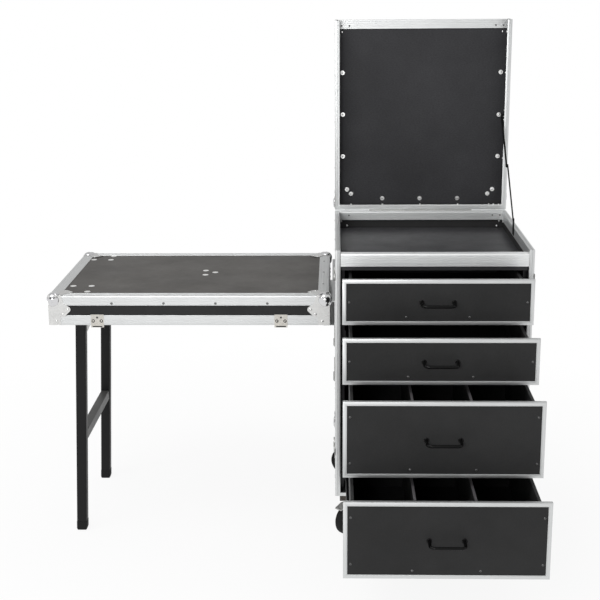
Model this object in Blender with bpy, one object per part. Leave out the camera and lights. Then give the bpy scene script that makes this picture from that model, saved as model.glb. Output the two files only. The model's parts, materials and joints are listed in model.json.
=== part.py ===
"""Production case on castors: lid, four drawers and a front cover used as a side table.

Metres, +Z up. The case is modelled about its own centre line (X), front rim plane (Y)
and the floor (Z). The finished model is then moved so that the world origin lies at the
bottom centre of its bounding box.
"""

import math

import bmesh
import bpy
from mathutils import Matrix, Vector

# Clearances, and the depth by which joined shapes reach into each other
GAP = 0.0003
WELD = 0.0002
DRAWER_GAP = 0.003
OPENING_GAP = 0.0035

# Body
BODY_WIDTH = 0.600
BODY_DEPTH = 0.650
PANEL = 0.009
TRAY_FLOOR = 0.006
TRAY_DROP = 0.059
TRAY_FRONT_GAP = 0.002
CASTOR_HEIGHT = 0.130
CASTOR_BOARD = 0.024
CASTOR_BOARD_INSET = 0.015
CASTOR_BOARD_REAR_INSET = 0.050

# Aluminium profiles
SKIN = 0.0015
RIM_WEB = 0.002
RIM_FACE = 0.0165
GROOVE_WIDTH = 0.003
GROOVE_DEPTH = 0.0008
ANGLE_LEG = 0.030
FRONT_INNER_LEG = 0.012
FRONT_RAIL_HEIGHT = 0.0405
FRONT_RAIL_DEPTH = 0.0265
FRONT_RAIL_DROP = 0.0105
BOTTOM_RAIL_HEIGHT = 0.011

# Drawers
SMALL_FRONT_HEIGHT = 0.1365
LARGE_FRONT_HEIGHT = 0.2235
FRONT_THICKNESS = 0.013
FRONT_SIDE_GAP = 0.004
TRIM_FACE = 0.0115
TRIM_RISE = 0.0012
BOX_DEPTH = 0.580
BOX_WALL = 0.009
BOX_FLOOR = 0.006
BOX_TOP_DROP = 0.0205
BOX_BOTTOM_RISE = 0.012
DIVIDER = 0.006
DIVIDER_DROP = 0.003
HANDLE_WIDTH = 0.096
HANDLE_REACH = 0.040
HANDLE_DROP = 0.003
HANDLE_RADIUS = 0.0045
HANDLE_BEND = 0.014
DRAWER_SHARES_OUT = (0.2562, 0.4842, 0.7211, 0.9953)

# Drawer slides and the racks that carry them
SLIDE_SPACE = 0.0127
SLIDE_MEMBER = 0.0039
SLIDE_HEIGHTS = (0.034, 0.040, 0.046)
SLIDE_LENGTH = 0.575
SLIDE_OVERTRAVEL = 0.010
SLIDE_SETBACK = 0.034
SLIDE_RISE = 0.035
RACK_DEPTH = 0.0178
UPRIGHT_WIDTH = 0.034

# Lid
LID_DEPTH = 0.064
HINGE_OFFSET = 0.004
HINGE_KNUCKLE = 0.0035
KNUCKLE_CLEARANCE = 0.0005
HINGE_BORE = 0.0017
HINGE_PIN = 0.0013
HINGE_LENGTH = 0.360
HINGE_KNUCKLES = 9
HINGE_LEAF = 0.036
LEAF_THICKNESS = 0.0012
STRIP_FACE = 0.030

# Lid stay
STAY_LOWER_RUN = 0.309
STAY_UPPER_RUN = 0.330
STAY_PIVOT_RISE = 0.026
STAY_SLACK = 0.0006
STAY_ARM_WIDTH = 0.012
STAY_ARM_THICKNESS = 0.002
STAY_CENTRE_INSET = 0.0205
STAY_STUD = 0.0025
STAY_BORE = 0.0030
STAY_PLATE = 0.0012
STAY_BRACKET_WIDTH = 0.030
STAY_BRACKET_FOOT = 0.050

# Cover, lying beside the case as a table
COVER_DEPTH = 0.093
COVER_TOP = 0.811
COVER_CASE_GAP = 0.0175
COVER_TOP_LEG = 0.035
COVER_SIDE_LEG = 0.031
COVER_INNER_LEG = 0.020
KEEPER_SPACING = 0.1485
KEEPER_WIDTH = 0.040
KEEPER_HEIGHT = 0.034
KEEPER_DROP = 0.007

# Folding legs of the table
LEG_SECTION = 0.032
LEG_END_INSET = 0.083
LEG_PIVOT_DROP = 0.056
LEG_LEAN = math.radians(2.6)
LEG_SIDE_INSET = 0.084
LEG_PIN = 0.004
LEG_BORE = 0.0043
LEG_CHEEK = 0.003
LEG_CHEEK_WIDTH = 0.040
LEG_CHEEK_DROP = 0.013
CROSSBAR_HEIGHT = 0.030
CROSSBAR_WALL = 0.003
CROSSBAR_INSET = 0.002
CROSSBAR_BOTTOM = 0.304
GUSSET_REACH = 0.024
GUSSET_HEIGHT = 0.050
GUSSET_THICKNESS = 0.003
GUSSET_DROP = 0.036

# Hook rail on the case
HOOK_TOP_DROP = 0.019
HOOK_LIP = 0.0085
HOOK_WALL = 0.002
HOOK_UPTURN = 0.016
HOOK_FRONT_INSET = 0.005
HOOK_REAR_INSET = 0.015

# Ball corners
BALL_RADIUS = 0.0203
BALL_DEPTH = 0.013
CORNER_PLATE = 0.038
CORNER_SKIN = 0.0012

# Side handles and latches
HANDLE_DISH_WIDTH = 0.130
HANDLE_DISH_HEIGHT = 0.088
HANDLE_DISH_DEPTH = 0.0165
HANDLE_DISH_DROP = 0.422
HANDLE_FRONT_INSET = 0.140
HANDLE_REAR_INSET = 0.130
DISH_FLANGE = 0.010
DISH_SKIN = 0.001
LATCH_POCKET_WIDTH = 0.066
LATCH_POCKET_HEIGHT = 0.084
LATCH_POCKET_DEPTH = 0.0078
LATCH_SETBACK = 0.066
BAIL_WIDTH = 0.104
BAIL_DROP = 0.042
BAIL_RADIUS = 0.005
BAIL_STUB = 0.003
WING_SPAN = 0.050
WING_WIDTH = 0.024
WING_THICKNESS = 0.003
WING_HUB = 0.007
HOOK_REACH = 0.071
HOOK_WIDTH = 0.022
HOOK_THICKNESS = 0.0015

# Castors
CASTOR_SIDE_INSET = 0.065
CASTOR_FRONT_INSET = 0.075
CASTOR_REAR_INSET = 0.105
CASTOR_PLATE_LENGTH = 0.100
CASTOR_PLATE_WIDTH = 0.085
CASTOR_PLATE_THICKNESS = 0.003
CASTOR_RACE_RADIUS = 0.028
CASTOR_TRAIL = 0.030
CASTOR_TURNS = (225, 250, 160, 70)
WHEEL_RADIUS = 0.050
WHEEL_WIDTH = 0.030
WHEEL_SHOULDER = 0.004
HUB_SHARE = 0.62
DISH_SHARE = 0.66
TREAD_SHARE = 0.9
WHEEL_BORE = 0.0055
AXLE_RADIUS = 0.005
FORK_CLEARANCE = 0.002
FORK_WALL = 0.003
FORK_WIDTH = 0.046
FORK_FOOT_WIDTH = 0.018
FORK_CROWN = 0.014
BRAKE_LENGTH = 0.052
BRAKE_WIDTH = 0.028
BRAKE_THICKNESS = 0.003
BRAKE_HUB = 0.0035
BRAKE_DROP = 0.005
BRAKE_TIP_DROP = 0.010

# Number of sides of round pieces
FINE_SIDES = 20
MEDIUM_SIDES = 12
SMALL_SIDES = 8
BEND_STEPS = 4

# Size of the empties that mark the joints
MARKER_SIZE = 0.050

# Heights and half widths that follow from the sizes above
HALF_WIDTH = BODY_WIDTH / 2
BODY_BOTTOM = CASTOR_HEIGHT + CASTOR_BOARD
FRONT_HEIGHTS = (SMALL_FRONT_HEIGHT, SMALL_FRONT_HEIGHT, LARGE_FRONT_HEIGHT, LARGE_FRONT_HEIGHT)
OPENING_BOTTOM = BODY_BOTTOM + BOTTOM_RAIL_HEIGHT
OPENING_TOP = (OPENING_BOTTOM + 2 * OPENING_GAP + sum(FRONT_HEIGHTS)
               + DRAWER_GAP * (len(FRONT_HEIGHTS) - 1))
FRONT_RAIL_TOP = OPENING_TOP + FRONT_RAIL_HEIGHT
RIM_Z = FRONT_RAIL_TOP + FRONT_RAIL_DROP
TRAY_TOP = RIM_Z - TRAY_DROP
BODY_HEIGHT = RIM_Z - BODY_BOTTOM
PANEL_INSET = SKIN + GAP
PANEL_OUTER = HALF_WIDTH - PANEL_INSET
PANEL_INNER = PANEL_OUTER - PANEL
PANEL_LOW = BODY_BOTTOM + PANEL_INSET
RIM_INNER = HALF_WIDTH - RIM_FACE
BOX_HALF = PANEL_INNER - RACK_DEPTH - SLIDE_SPACE
SLIDE_TRAVEL = SLIDE_LENGTH + SLIDE_OVERTRAVEL
DRAWER_PULLS = tuple(share * SLIDE_TRAVEL for share in DRAWER_SHARES_OUT)
FRONT_HALF = RIM_INNER - FRONT_SIDE_GAP
HINGE_Y = BODY_DEPTH + HINGE_OFFSET
LID_RIM_Y = HINGE_Y + GAP
LID_TOP_Y = HINGE_Y + LID_DEPTH
LID_NEAR_Z = RIM_Z + HINGE_OFFSET
LID_FAR_Z = LID_NEAR_Z + BODY_DEPTH
COVER_LENGTH = BODY_HEIGHT + LID_DEPTH
COVER_X1 = -HALF_WIDTH - COVER_CASE_GAP
COVER_X0 = COVER_X1 - COVER_LENGTH
COVER_BOTTOM = COVER_TOP - COVER_DEPTH
LEG_PIVOT_X = COVER_X0 + LEG_END_INSET
LEG_PIVOT_Z = COVER_TOP - LEG_PIVOT_DROP
LEG_FRONT_Y = LEG_SIDE_INSET
LEG_REAR_Y = BODY_WIDTH - LEG_SIDE_INSET
HANDLE_DISH_PLACES = (HANDLE_FRONT_INSET, BODY_DEPTH - HANDLE_REAR_INSET)
CASTOR_X = HALF_WIDTH - CASTOR_SIDE_INSET
CASTOR_REAR_Y = BODY_DEPTH - CASTOR_REAR_INSET
CROWN_Z = WHEEL_RADIUS * 2 + FORK_CROWN
SIDES = (("left", -1), ("right", 1))


class Shape:
    """A mesh under construction, in the case's coordinates."""

    def __init__(self):
        self.mesh = bmesh.new()

    def loft(self, loops, closed=False):
        """Skin a row of equal loops, and cap both ends unless the row closes on itself."""
        rows = [[self.mesh.verts.new(point) for point in loop] for loop in loops]
        pairs = list(zip(rows, rows[1:]))
        if closed:
            pairs.append((rows[-1], rows[0]))
        for lower, upper in pairs:
            for i in range(len(lower)):
                j = (i + 1) % len(lower)
                self.mesh.faces.new((lower[i], lower[j], upper[j], upper[i]))
        if not closed:
            self.mesh.faces.new(rows[0])
            self.mesh.faces.new(rows[-1])

    def box(self, low, high):
        """Add a box between two opposite corners, given in any order."""
        xs, ys, zs = (sorted(pair) for pair in zip(low, high))
        self.loft([[(x, ys[0], zs[0]), (x, ys[1], zs[0]), (x, ys[1], zs[1]), (x, ys[0], zs[1])]
                   for x in xs])

    def prism(self, axis, outline, start, end):
        """Extrude an outline along an axis; its points hold the other two coordinates in order."""
        index = "XYZ".index(axis)
        loops = []
        for along in (start, end):
            loops.append([pair[:index] + (along,) + pair[index:] for pair in outline])
        self.loft(loops)

    def run(self, section, place, start, end):
        """Extrude a profile section; start and end give the mitred ends for each section point."""
        self.loft([[place(p, q, reach(p, q)) for p, q in section] for reach in (start, end)])

    def frame(self, section, place):
        """Sweep a section round the four corners of a rectangle."""
        corners = ((-1, -1), (1, -1), (1, 1), (-1, 1))
        self.loft([[place(u, v, p, q) for p, q in section] for u, v in corners], closed=True)

    def rod(self, start, end, radius, sides=MEDIUM_SIDES):
        """Add a round bar between two points."""
        self.loft(round_loops([start, end], radius, sides))

    def tube(self, points, radius, sides=SMALL_SIDES):
        """Add a round bar along a bent centre line that lies in one plane."""
        self.loft(round_loops(points, radius, sides))

    def turned(self, centre, axis, outline, sides=FINE_SIDES):
        """Turn a closed outline of (radius, distance along the axis) about a level axis."""
        centre, axis = Vector(centre), Vector(axis).normalized()
        out = Vector((0, 0, -1))
        across = axis.cross(out)
        loops = []
        for k in range(sides):
            angle = 2 * math.pi * k / sides
            spoke = out * math.cos(angle) + across * math.sin(angle)
            loops.append([centre + spoke * radius + axis * along for radius, along in outline])
        self.loft(loops, closed=True)

    def open_box(self, place, size, wall, floor):
        """Add a box open on one side; place maps (a, b, depth) with depth 0 at the open side."""
        (a0, a1), (b0, b1), depth = size
        loops = []
        for inset, level in ((0, depth), (0, 0), (wall, 0), (wall, depth - floor)):
            loops.append([place(a0 + inset, b0 + inset, level), place(a1 - inset, b0 + inset, level),
                          place(a1 - inset, b1 - inset, level), place(a0 + inset, b1 - inset, level)])
        self.loft(loops)

    def ball(self, centre, radius):
        """Add a ball."""
        bmesh.ops.create_uvsphere(self.mesh, u_segments=16, v_segments=10, radius=radius,
                                  matrix=Matrix.Translation(centre))

    def turn(self, pivot, axis, angle):
        """Turn everything made so far about a point."""
        bmesh.ops.rotate(self.mesh, verts=self.mesh.verts, cent=pivot,
                         matrix=Matrix.Rotation(angle, 3, axis))

    def finish(self, name, material, frame=None):
        """Turn the mesh into an object whose origin is its joint frame."""
        bmesh.ops.translate(self.mesh, verts=self.mesh.verts, vec=-frame_place(frame))
        bmesh.ops.recalc_face_normals(self.mesh, faces=self.mesh.faces)
        data = bpy.data.meshes.new(name)
        self.mesh.to_mesh(data)
        self.mesh.free()
        data.materials.append(material)
        data.shade_smooth()
        data.set_sharp_from_angle(angle=math.radians(35))
        thing = bpy.data.objects.new(name, data)
        bpy.context.scene.collection.objects.link(thing)
        thing.parent = frame
        return thing


def round_loops(points, radius, sides):
    """Circles square to a line of points, all turned the same way about it."""
    points = [Vector(point) for point in points]
    first = (points[1] - points[0]).normalized()
    normal = first.orthogonal().normalized()
    for point in points[2:]:
        bend = first.cross(point - points[0])
        if bend.length > 1e-6:
            normal = bend.normalized()
            break
    loops = []
    for k, point in enumerate(points):
        ahead = points[min(k + 1, len(points) - 1)]
        behind = points[max(k - 1, 0)]
        across = (ahead - behind).normalized().cross(normal)
        angles = [2 * math.pi * (i + 0.5) / sides for i in range(sides)]
        loops.append([point + (normal * math.cos(a) + across * math.sin(a)) * radius
                      for a in angles])
    return loops


def bow_points(end_a, end_b, reach, bend):
    """Centre line of a bow: out from one end, across and back, with rounded corners."""
    end_a, end_b, reach = Vector(end_a), Vector(end_b), Vector(reach)
    across = (end_b - end_a).normalized()
    out = reach.normalized()
    points = [end_a]
    for corner, before, after in ((end_a + reach, out, across), (end_b + reach, across, -out)):
        centre = corner - before * bend + after * bend
        for k in range(BEND_STEPS + 1):
            angle = math.pi / 2 * k / BEND_STEPS
            points.append(centre - after * bend * math.cos(angle) + before * bend * math.sin(angle))
    points.append(end_b)
    return points


def clear_scene():
    """Remove every object of the open scene."""
    for thing in list(bpy.data.objects):
        bpy.data.objects.remove(thing, do_unlink=True)


def surface(name, colour, roughness, metallic):
    """Make one Principled material."""
    material = bpy.data.materials.new(name)
    material.use_nodes = True
    shader = material.node_tree.nodes["Principled BSDF"]
    shader.inputs["Base Color"].default_value = (*colour, 1.0)
    shader.inputs["Roughness"].default_value = roughness
    shader.inputs["Metallic"].default_value = metallic
    return material


def joint_frame(name, place, parent=None):
    """Make an empty on a joint's axis, to carry the pieces that move with it."""
    frame = bpy.data.objects.new(name, None)
    bpy.context.scene.collection.objects.link(frame)
    frame.empty_display_size = MARKER_SIZE
    frame.parent = parent
    frame.location = Vector(place) - frame_place(parent)
    return frame


def frame_place(frame):
    """The place of a joint frame in the case's coordinates."""
    place = Vector((0, 0, 0))
    while frame is not None:
        place += frame.location
        frame = frame.parent
    return place


def combine(target, tool, operation="UNION"):
    """Join or cut an object with a tool object, which is hidden."""
    tool.hide_render = True
    tool.display_type = "WIRE"
    modifier = target.modifiers.new(tool.name, "BOOLEAN")
    modifier.operation = operation
    modifier.solver = "EXACT"
    modifier.use_self = operation == "UNION"
    modifier.object = tool


def centre_model():
    """Move the model so that the origin is the bottom centre of its bounding box."""
    bpy.context.view_layer.update()
    graph = bpy.context.evaluated_depsgraph_get()
    corners = []
    for thing in bpy.data.objects:
        if thing.type == "MESH" and not thing.hide_render:
            seen = thing.evaluated_get(graph)
            corners.extend(seen.matrix_world @ vertex.co for vertex in seen.data.vertices)
    low = Vector([min(corner[i] for corner in corners) for i in range(3)])
    high = Vector([max(corner[i] for corner in corners) for i in range(3)])
    shift = Vector((-(low.x + high.x) / 2, -(low.y + high.y) / 2, -low.z))
    for thing in bpy.data.objects:
        if thing.parent is None:
            thing.location += shift
    bpy.context.view_layer.update()


def angle_section(leg_p, leg_q, wall=SKIN):
    """L section with its outer corner at the origin."""
    return [(0, 0), (leg_p, 0), (leg_p, wall), (wall, wall), (wall, leg_q), (0, leg_q)]


def rim_section(outer_leg, inner_leg):
    """Grooved rim section: a web across the board's edge, an outer and an inner leg."""
    groove = (RIM_FACE - GROOVE_WIDTH) / 2
    return [(0, 0), (groove, 0), (groove, GROOVE_DEPTH), (RIM_FACE - groove, GROOVE_DEPTH),
            (RIM_FACE - groove, 0), (RIM_FACE, 0), (RIM_FACE, inner_leg),
            (RIM_FACE - SKIN, inner_leg), (RIM_FACE - SKIN, RIM_WEB), (SKIN, RIM_WEB),
            (SKIN, outer_leg), (0, outer_leg)]


def lid_rim_section():
    """Grooved rim section of the lid, without an inner leg."""
    section = rim_section(ANGLE_LEG, RIM_WEB)
    return section[:7] + section[9:]


def ball_corners(name, corners, material, frame=None):
    """Pressed corners as a hidden tool: a ball over three plates on the corner's faces."""
    balls, plates, inside = Shape(), Shape(), Shape()
    for corner, outward in corners:
        corner, outward = Vector(corner), Vector(outward)
        balls.ball(corner - outward * BALL_DEPTH, BALL_RADIUS)
        plates.box(corner + outward * CORNER_SKIN, corner - outward * CORNER_PLATE)
        inside.box(corner - outward * WELD, corner - outward * 2 * CORNER_PLATE)
    body = balls.finish(name, material, frame)
    combine(body, plates.finish(name + "_plates", material, frame))
    combine(body, inside.finish(name + "_inside", material, frame), "DIFFERENCE")
    return body


def front_bottom(index):
    """Height of the lower edge of a drawer front, counted from the top drawer."""
    below = FRONT_HEIGHTS[index + 1:]
    return OPENING_BOTTOM + OPENING_GAP + sum(below) + DRAWER_GAP * len(below)


def box_levels(index):
    """Bottom and top height of a drawer's box."""
    low = front_bottom(index)
    return low + BOX_BOTTOM_RISE, low + FRONT_HEIGHTS[index] - BOX_TOP_DROP


def slide_z(index):
    """Centre height of a drawer's slides."""
    return box_levels(index)[0] + SLIDE_RISE


def slide_layer(member):
    """Inner and outer half width of a slide member, 0 on the drawer to 2 on the rack."""
    step = (SLIDE_SPACE - SLIDE_MEMBER) / 2
    low = BOX_HALF + member * step
    return low, low + SLIDE_MEMBER


def latch_heights():
    """Heights of the cover's latches, which face the keepers when the cover is on."""
    return (BODY_BOTTOM + KEEPER_SPACING, BODY_BOTTOM + COVER_LENGTH - KEEPER_SPACING)


def handle_dish_z():
    """Centre height of the side handles."""
    return RIM_Z - HANDLE_DISH_DROP


def build_side_panel(name, side, material):
    """Side panel with its pressed handle dishes and latch pockets."""
    panel, dishes, hollows, stubs = Shape(), Shape(), Shape(), Shape()
    panel.box((side * PANEL_OUTER, RIM_WEB + GAP, PANEL_LOW),
              (side * PANEL_INNER, BODY_DEPTH - PANEL_INSET, RIM_Z - RIM_WEB - GAP))
    z = handle_dish_z()
    half_y, half_z = HANDLE_DISH_WIDTH / 2, HANDLE_DISH_HEIGHT / 2
    floor = PANEL_OUTER - HANDLE_DISH_DEPTH
    face = PANEL_OUTER + DISH_SKIN
    for y in HANDLE_DISH_PLACES:
        dishes.box((side * face, y - half_y, z - half_z),
                   (side * (floor - DISH_SKIN), y + half_y, z + half_z))
        dishes.box((side * face, y - half_y - DISH_FLANGE, z - half_z - DISH_FLANGE),
                   (side * (PANEL_OUTER - WELD), y + half_y + DISH_FLANGE, z + half_z + DISH_FLANGE))
        hollows.box((side * (face + DISH_SKIN), y - half_y + DISH_SKIN, z - half_z + DISH_SKIN),
                    (side * floor, y + half_y - DISH_SKIN, z + half_z - DISH_SKIN))
        pivot_z = z + BAIL_DROP / 2
        for sign in (-1, 1):
            wall = y + sign * (half_y - WELD)
            end = y + sign * (BAIL_WIDTH / 2 + BAIL_RADIUS + GAP)
            stubs.rod((side * PANEL_OUTER, wall, pivot_z), (side * PANEL_OUTER, end, pivot_z),
                      BAIL_STUB, SMALL_SIDES)
    for z in latch_heights():
        hollows.box((side * (face + DISH_SKIN), LATCH_SETBACK - LATCH_POCKET_WIDTH / 2,
                     z - LATCH_POCKET_HEIGHT / 2),
                    (side * (PANEL_OUTER - LATCH_POCKET_DEPTH), LATCH_SETBACK + LATCH_POCKET_WIDTH / 2,
                     z + LATCH_POCKET_HEIGHT / 2))
    body = panel.finish(f"side_panel_{name}", material)
    combine(body, dishes.finish(f"handle_dishes_{name}", material))
    combine(body, hollows.finish(f"dish_hollows_{name}", material), "DIFFERENCE")
    combine(body, stubs.finish(f"bail_stubs_{name}", material))


def build_boards(laminate, wood):
    """Rear panel, bottom boards with the castor plates, and tray."""
    half = PANEL_INNER - GAP
    rear = Shape()
    rear_face = BODY_DEPTH - PANEL_INSET
    rear.box((-half, rear_face - PANEL, PANEL_LOW), (half, rear_face, RIM_Z - RIM_WEB - GAP))
    rear.finish("rear_panel", laminate)

    inner_rear = rear_face - PANEL - GAP
    bottom, under = Shape(), Shape()
    bottom.box((-half, FRONT_INNER_LEG + GAP, PANEL_LOW), (half, inner_rear, PANEL_LOW + PANEL))
    clear = ANGLE_LEG + GAP
    under.box((-HALF_WIDTH + clear, clear, CASTOR_HEIGHT + PANEL),
              (HALF_WIDTH - clear, BODY_DEPTH - CASTOR_BOARD_REAR_INSET, PANEL_LOW + WELD))
    under.box((-HALF_WIDTH + CASTOR_BOARD_INSET, CASTOR_BOARD_INSET, CASTOR_HEIGHT),
              (HALF_WIDTH - CASTOR_BOARD_INSET, BODY_DEPTH - CASTOR_BOARD_REAR_INSET,
               BODY_BOTTOM - GAP))
    for _, x, y, _ in castor_places():
        under.box((x - CASTOR_PLATE_WIDTH / 2, y - CASTOR_PLATE_LENGTH / 2,
                   CASTOR_HEIGHT - CASTOR_PLATE_THICKNESS),
                  (x + CASTOR_PLATE_WIDTH / 2, y + CASTOR_PLATE_LENGTH / 2, CASTOR_HEIGHT + WELD))
        under.rod((x, y, CROWN_Z), (x, y, CASTOR_HEIGHT - CASTOR_PLATE_THICKNESS + WELD),
                  CASTOR_RACE_RADIUS, FINE_SIDES)
    boards = bottom.finish("bottom_boards", wood)
    combine(boards, under.finish("castor_board", wood))

    floor, front = Shape(), Shape()
    tray_front = FRONT_THICKNESS + TRAY_FRONT_GAP
    floor.box((-half, tray_front, TRAY_TOP - TRAY_FLOOR), (half, inner_rear, TRAY_TOP))
    front.box((-RIM_INNER + GAP, tray_front, TRAY_TOP - WELD),
              (RIM_INNER - GAP, tray_front + PANEL, FRONT_RAIL_TOP - SKIN - GAP))
    tray = floor.finish("tray", laminate)
    combine(tray, front.finish("tray_front", laminate))


def build_body_profiles(material):
    """Grooved rims round the front and top, edge angles at the rear and bottom, ball corners."""
    front_rim = rim_section(ANGLE_LEG, FRONT_INNER_LEG)
    top_rim = rim_section(ANGLE_LEG, ANGLE_LEG)
    rims = Shape()
    loops = []
    for side in (-1, 1):
        foot = [(side * (HALF_WIDTH - p), q, BODY_BOTTOM) for p, q in front_rim]
        shoulder = [(side * (HALF_WIDTH - p), front_q, RIM_Z - q)
                    for (p, q), (_, front_q) in zip(top_rim, front_rim)]
        heel = [(side * (HALF_WIDTH - p), BODY_DEPTH - p, RIM_Z - q) for p, q in top_rim]
        loops.append([foot, shoulder, heel])
    rims.loft(loops[0] + loops[1][::-1])

    edges = Shape()
    edge = angle_section(ANGLE_LEG, ANGLE_LEG)
    reach = 5 * WELD
    for _, side in SIDES:
        edges.run(edge,
                  lambda p, q, s: (side * (HALF_WIDTH - p), BODY_DEPTH - q, s),
                  lambda p, q: BODY_BOTTOM + reach,
                  lambda p, q: RIM_Z - ANGLE_LEG + reach)
    base = Shape()
    base.loft([[(side * (HALF_WIDTH - p), ANGLE_LEG - reach, BODY_BOTTOM + q) for p, q in edge]
               for side in (-1,)]
              + [[(side * (HALF_WIDTH - p), BODY_DEPTH - p, BODY_BOTTOM + q) for p, q in edge]
                 for side in (-1, 1)]
              + [[(HALF_WIDTH - p, ANGLE_LEG - reach, BODY_BOTTOM + q) for p, q in edge]])
    base.prism("X", [(0, BODY_BOTTOM), (ANGLE_LEG, BODY_BOTTOM), (ANGLE_LEG, BODY_BOTTOM + SKIN),
                     (SKIN, BODY_BOTTOM + SKIN), (SKIN, OPENING_BOTTOM), (0, OPENING_BOTTOM)],
               -RIM_INNER - reach, RIM_INNER + reach)
    corners = [((side * HALF_WIDTH, BODY_DEPTH, BODY_BOTTOM), (side, 1, -1)) for _, side in SIDES]
    body = rims.finish("case_profiles", material)
    combine(body, edges.finish("rear_edge_angles", material))
    combine(body, base.finish("bottom_edge_angles", material))
    combine(body, ball_corners("body_ball_corners", corners, material))

    rail = Shape()
    rail.prism("X", [(0, OPENING_TOP), (RIM_WEB, OPENING_TOP), (RIM_WEB, FRONT_RAIL_TOP - SKIN),
                     (FRONT_RAIL_DEPTH, FRONT_RAIL_TOP - SKIN), (FRONT_RAIL_DEPTH, FRONT_RAIL_TOP),
                     (0, FRONT_RAIL_TOP)],
               -RIM_INNER + GAP, RIM_INNER - GAP)
    rail.finish("front_rail", material)


def build_slide_rack(name, side, material):
    """Uprights on one side of the body with the fixed members of that side's slides."""
    uprights, members = Shape(), Shape()
    low, high = slide_layer(2)
    start = SLIDE_SETBACK + UPRIGHT_WIDTH / 2
    end = SLIDE_SETBACK + SLIDE_LENGTH
    for y, width in ((start, UPRIGHT_WIDTH), ((start + end) / 2, UPRIGHT_WIDTH),
                     (end - UPRIGHT_WIDTH / 4, UPRIGHT_WIDTH / 2)):
        uprights.box((side * (high - WELD), y - width / 2, PANEL_LOW + PANEL + GAP),
                     (side * (PANEL_INNER - GAP), y + width / 2, TRAY_TOP - TRAY_FLOOR - GAP))
    for index in range(len(FRONT_HEIGHTS)):
        z = slide_z(index)
        members.box((side * low, SLIDE_SETBACK, z - SLIDE_HEIGHTS[2] / 2),
                    (side * high, end, z + SLIDE_HEIGHTS[2] / 2))
    rack = uprights.finish(f"slide_rack_{name}", material)
    combine(rack, members.finish(f"fixed_slides_{name}", material))


def build_drawer(index, board, handle_metal, steel):
    """One drawer: box with runners, front with trim, handle and the middle slide members."""
    number = index + 1
    pull = DRAWER_PULLS[index]
    low = front_bottom(index)
    high = low + FRONT_HEIGHTS[index]
    mid = (low + high) / 2
    z = slide_z(index)
    frame = joint_frame(f"drawer_{number}_joint", (0, -pull, low))

    box, fittings = Shape(), Shape()
    box_low, box_high = box_levels(index)
    front = FRONT_THICKNESS + GAP - pull
    back = front + BOX_DEPTH
    box.open_box(lambda x, y, depth: (x, y, box_high - depth),
                 ((-BOX_HALF, BOX_HALF), (front, back), box_high - box_low), BOX_WALL, BOX_FLOOR)
    if FRONT_HEIGHTS[index] == LARGE_FRONT_HEIGHT:
        third = (BOX_HALF - BOX_WALL) / 3
        for place in (-third, third):
            fittings.box((place - DIVIDER / 2, front + BOX_WALL - WELD, box_low + BOX_FLOOR - WELD),
                         (place + DIVIDER / 2, back - BOX_WALL + WELD, box_high - DIVIDER_DROP))
    runner_low, runner_high = slide_layer(0)
    for _, side in SIDES:
        fittings.box((side * (runner_low - WELD), SLIDE_SETBACK - pull, z - SLIDE_HEIGHTS[0] / 2),
                     (side * runner_high, back - WELD, z + SLIDE_HEIGHTS[0] / 2))
    body = box.finish(f"drawer_{number}_box", board, frame)
    combine(body, fittings.finish(f"drawer_{number}_fittings", board, frame))

    face = Shape()
    face.open_box(lambda x, height, depth: (x, depth - pull, height),
                  ((-FRONT_HALF, FRONT_HALF), (low, high), FRONT_THICKNESS), TRIM_FACE,
                  FRONT_THICKNESS - TRIM_RISE)
    face.finish(f"drawer_{number}_front", board, frame)

    handle = Shape()
    half = HANDLE_WIDTH / 2
    face_y = TRIM_RISE - GAP - pull
    handle.tube(bow_points((-half, face_y, mid), (half, face_y, mid),
                           (0, -HANDLE_REACH, -HANDLE_DROP), HANDLE_BEND), HANDLE_RADIUS)
    handle.finish(f"drawer_{number}_handle", handle_metal, frame)

    middle_frame = joint_frame(f"drawer_{number}_slide_joint", (0, -pull / 2, low))
    middle_low, middle_high = slide_layer(1)
    for name, side in SIDES:
        member = Shape()
        member.box((side * middle_low, SLIDE_SETBACK - pull / 2, z - SLIDE_HEIGHTS[1] / 2),
                   (side * middle_high, SLIDE_SETBACK + SLIDE_LENGTH - pull / 2,
                    z + SLIDE_HEIGHTS[1] / 2))
        member.finish(f"drawer_{number}_slide_{name}", steel, middle_frame)


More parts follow.
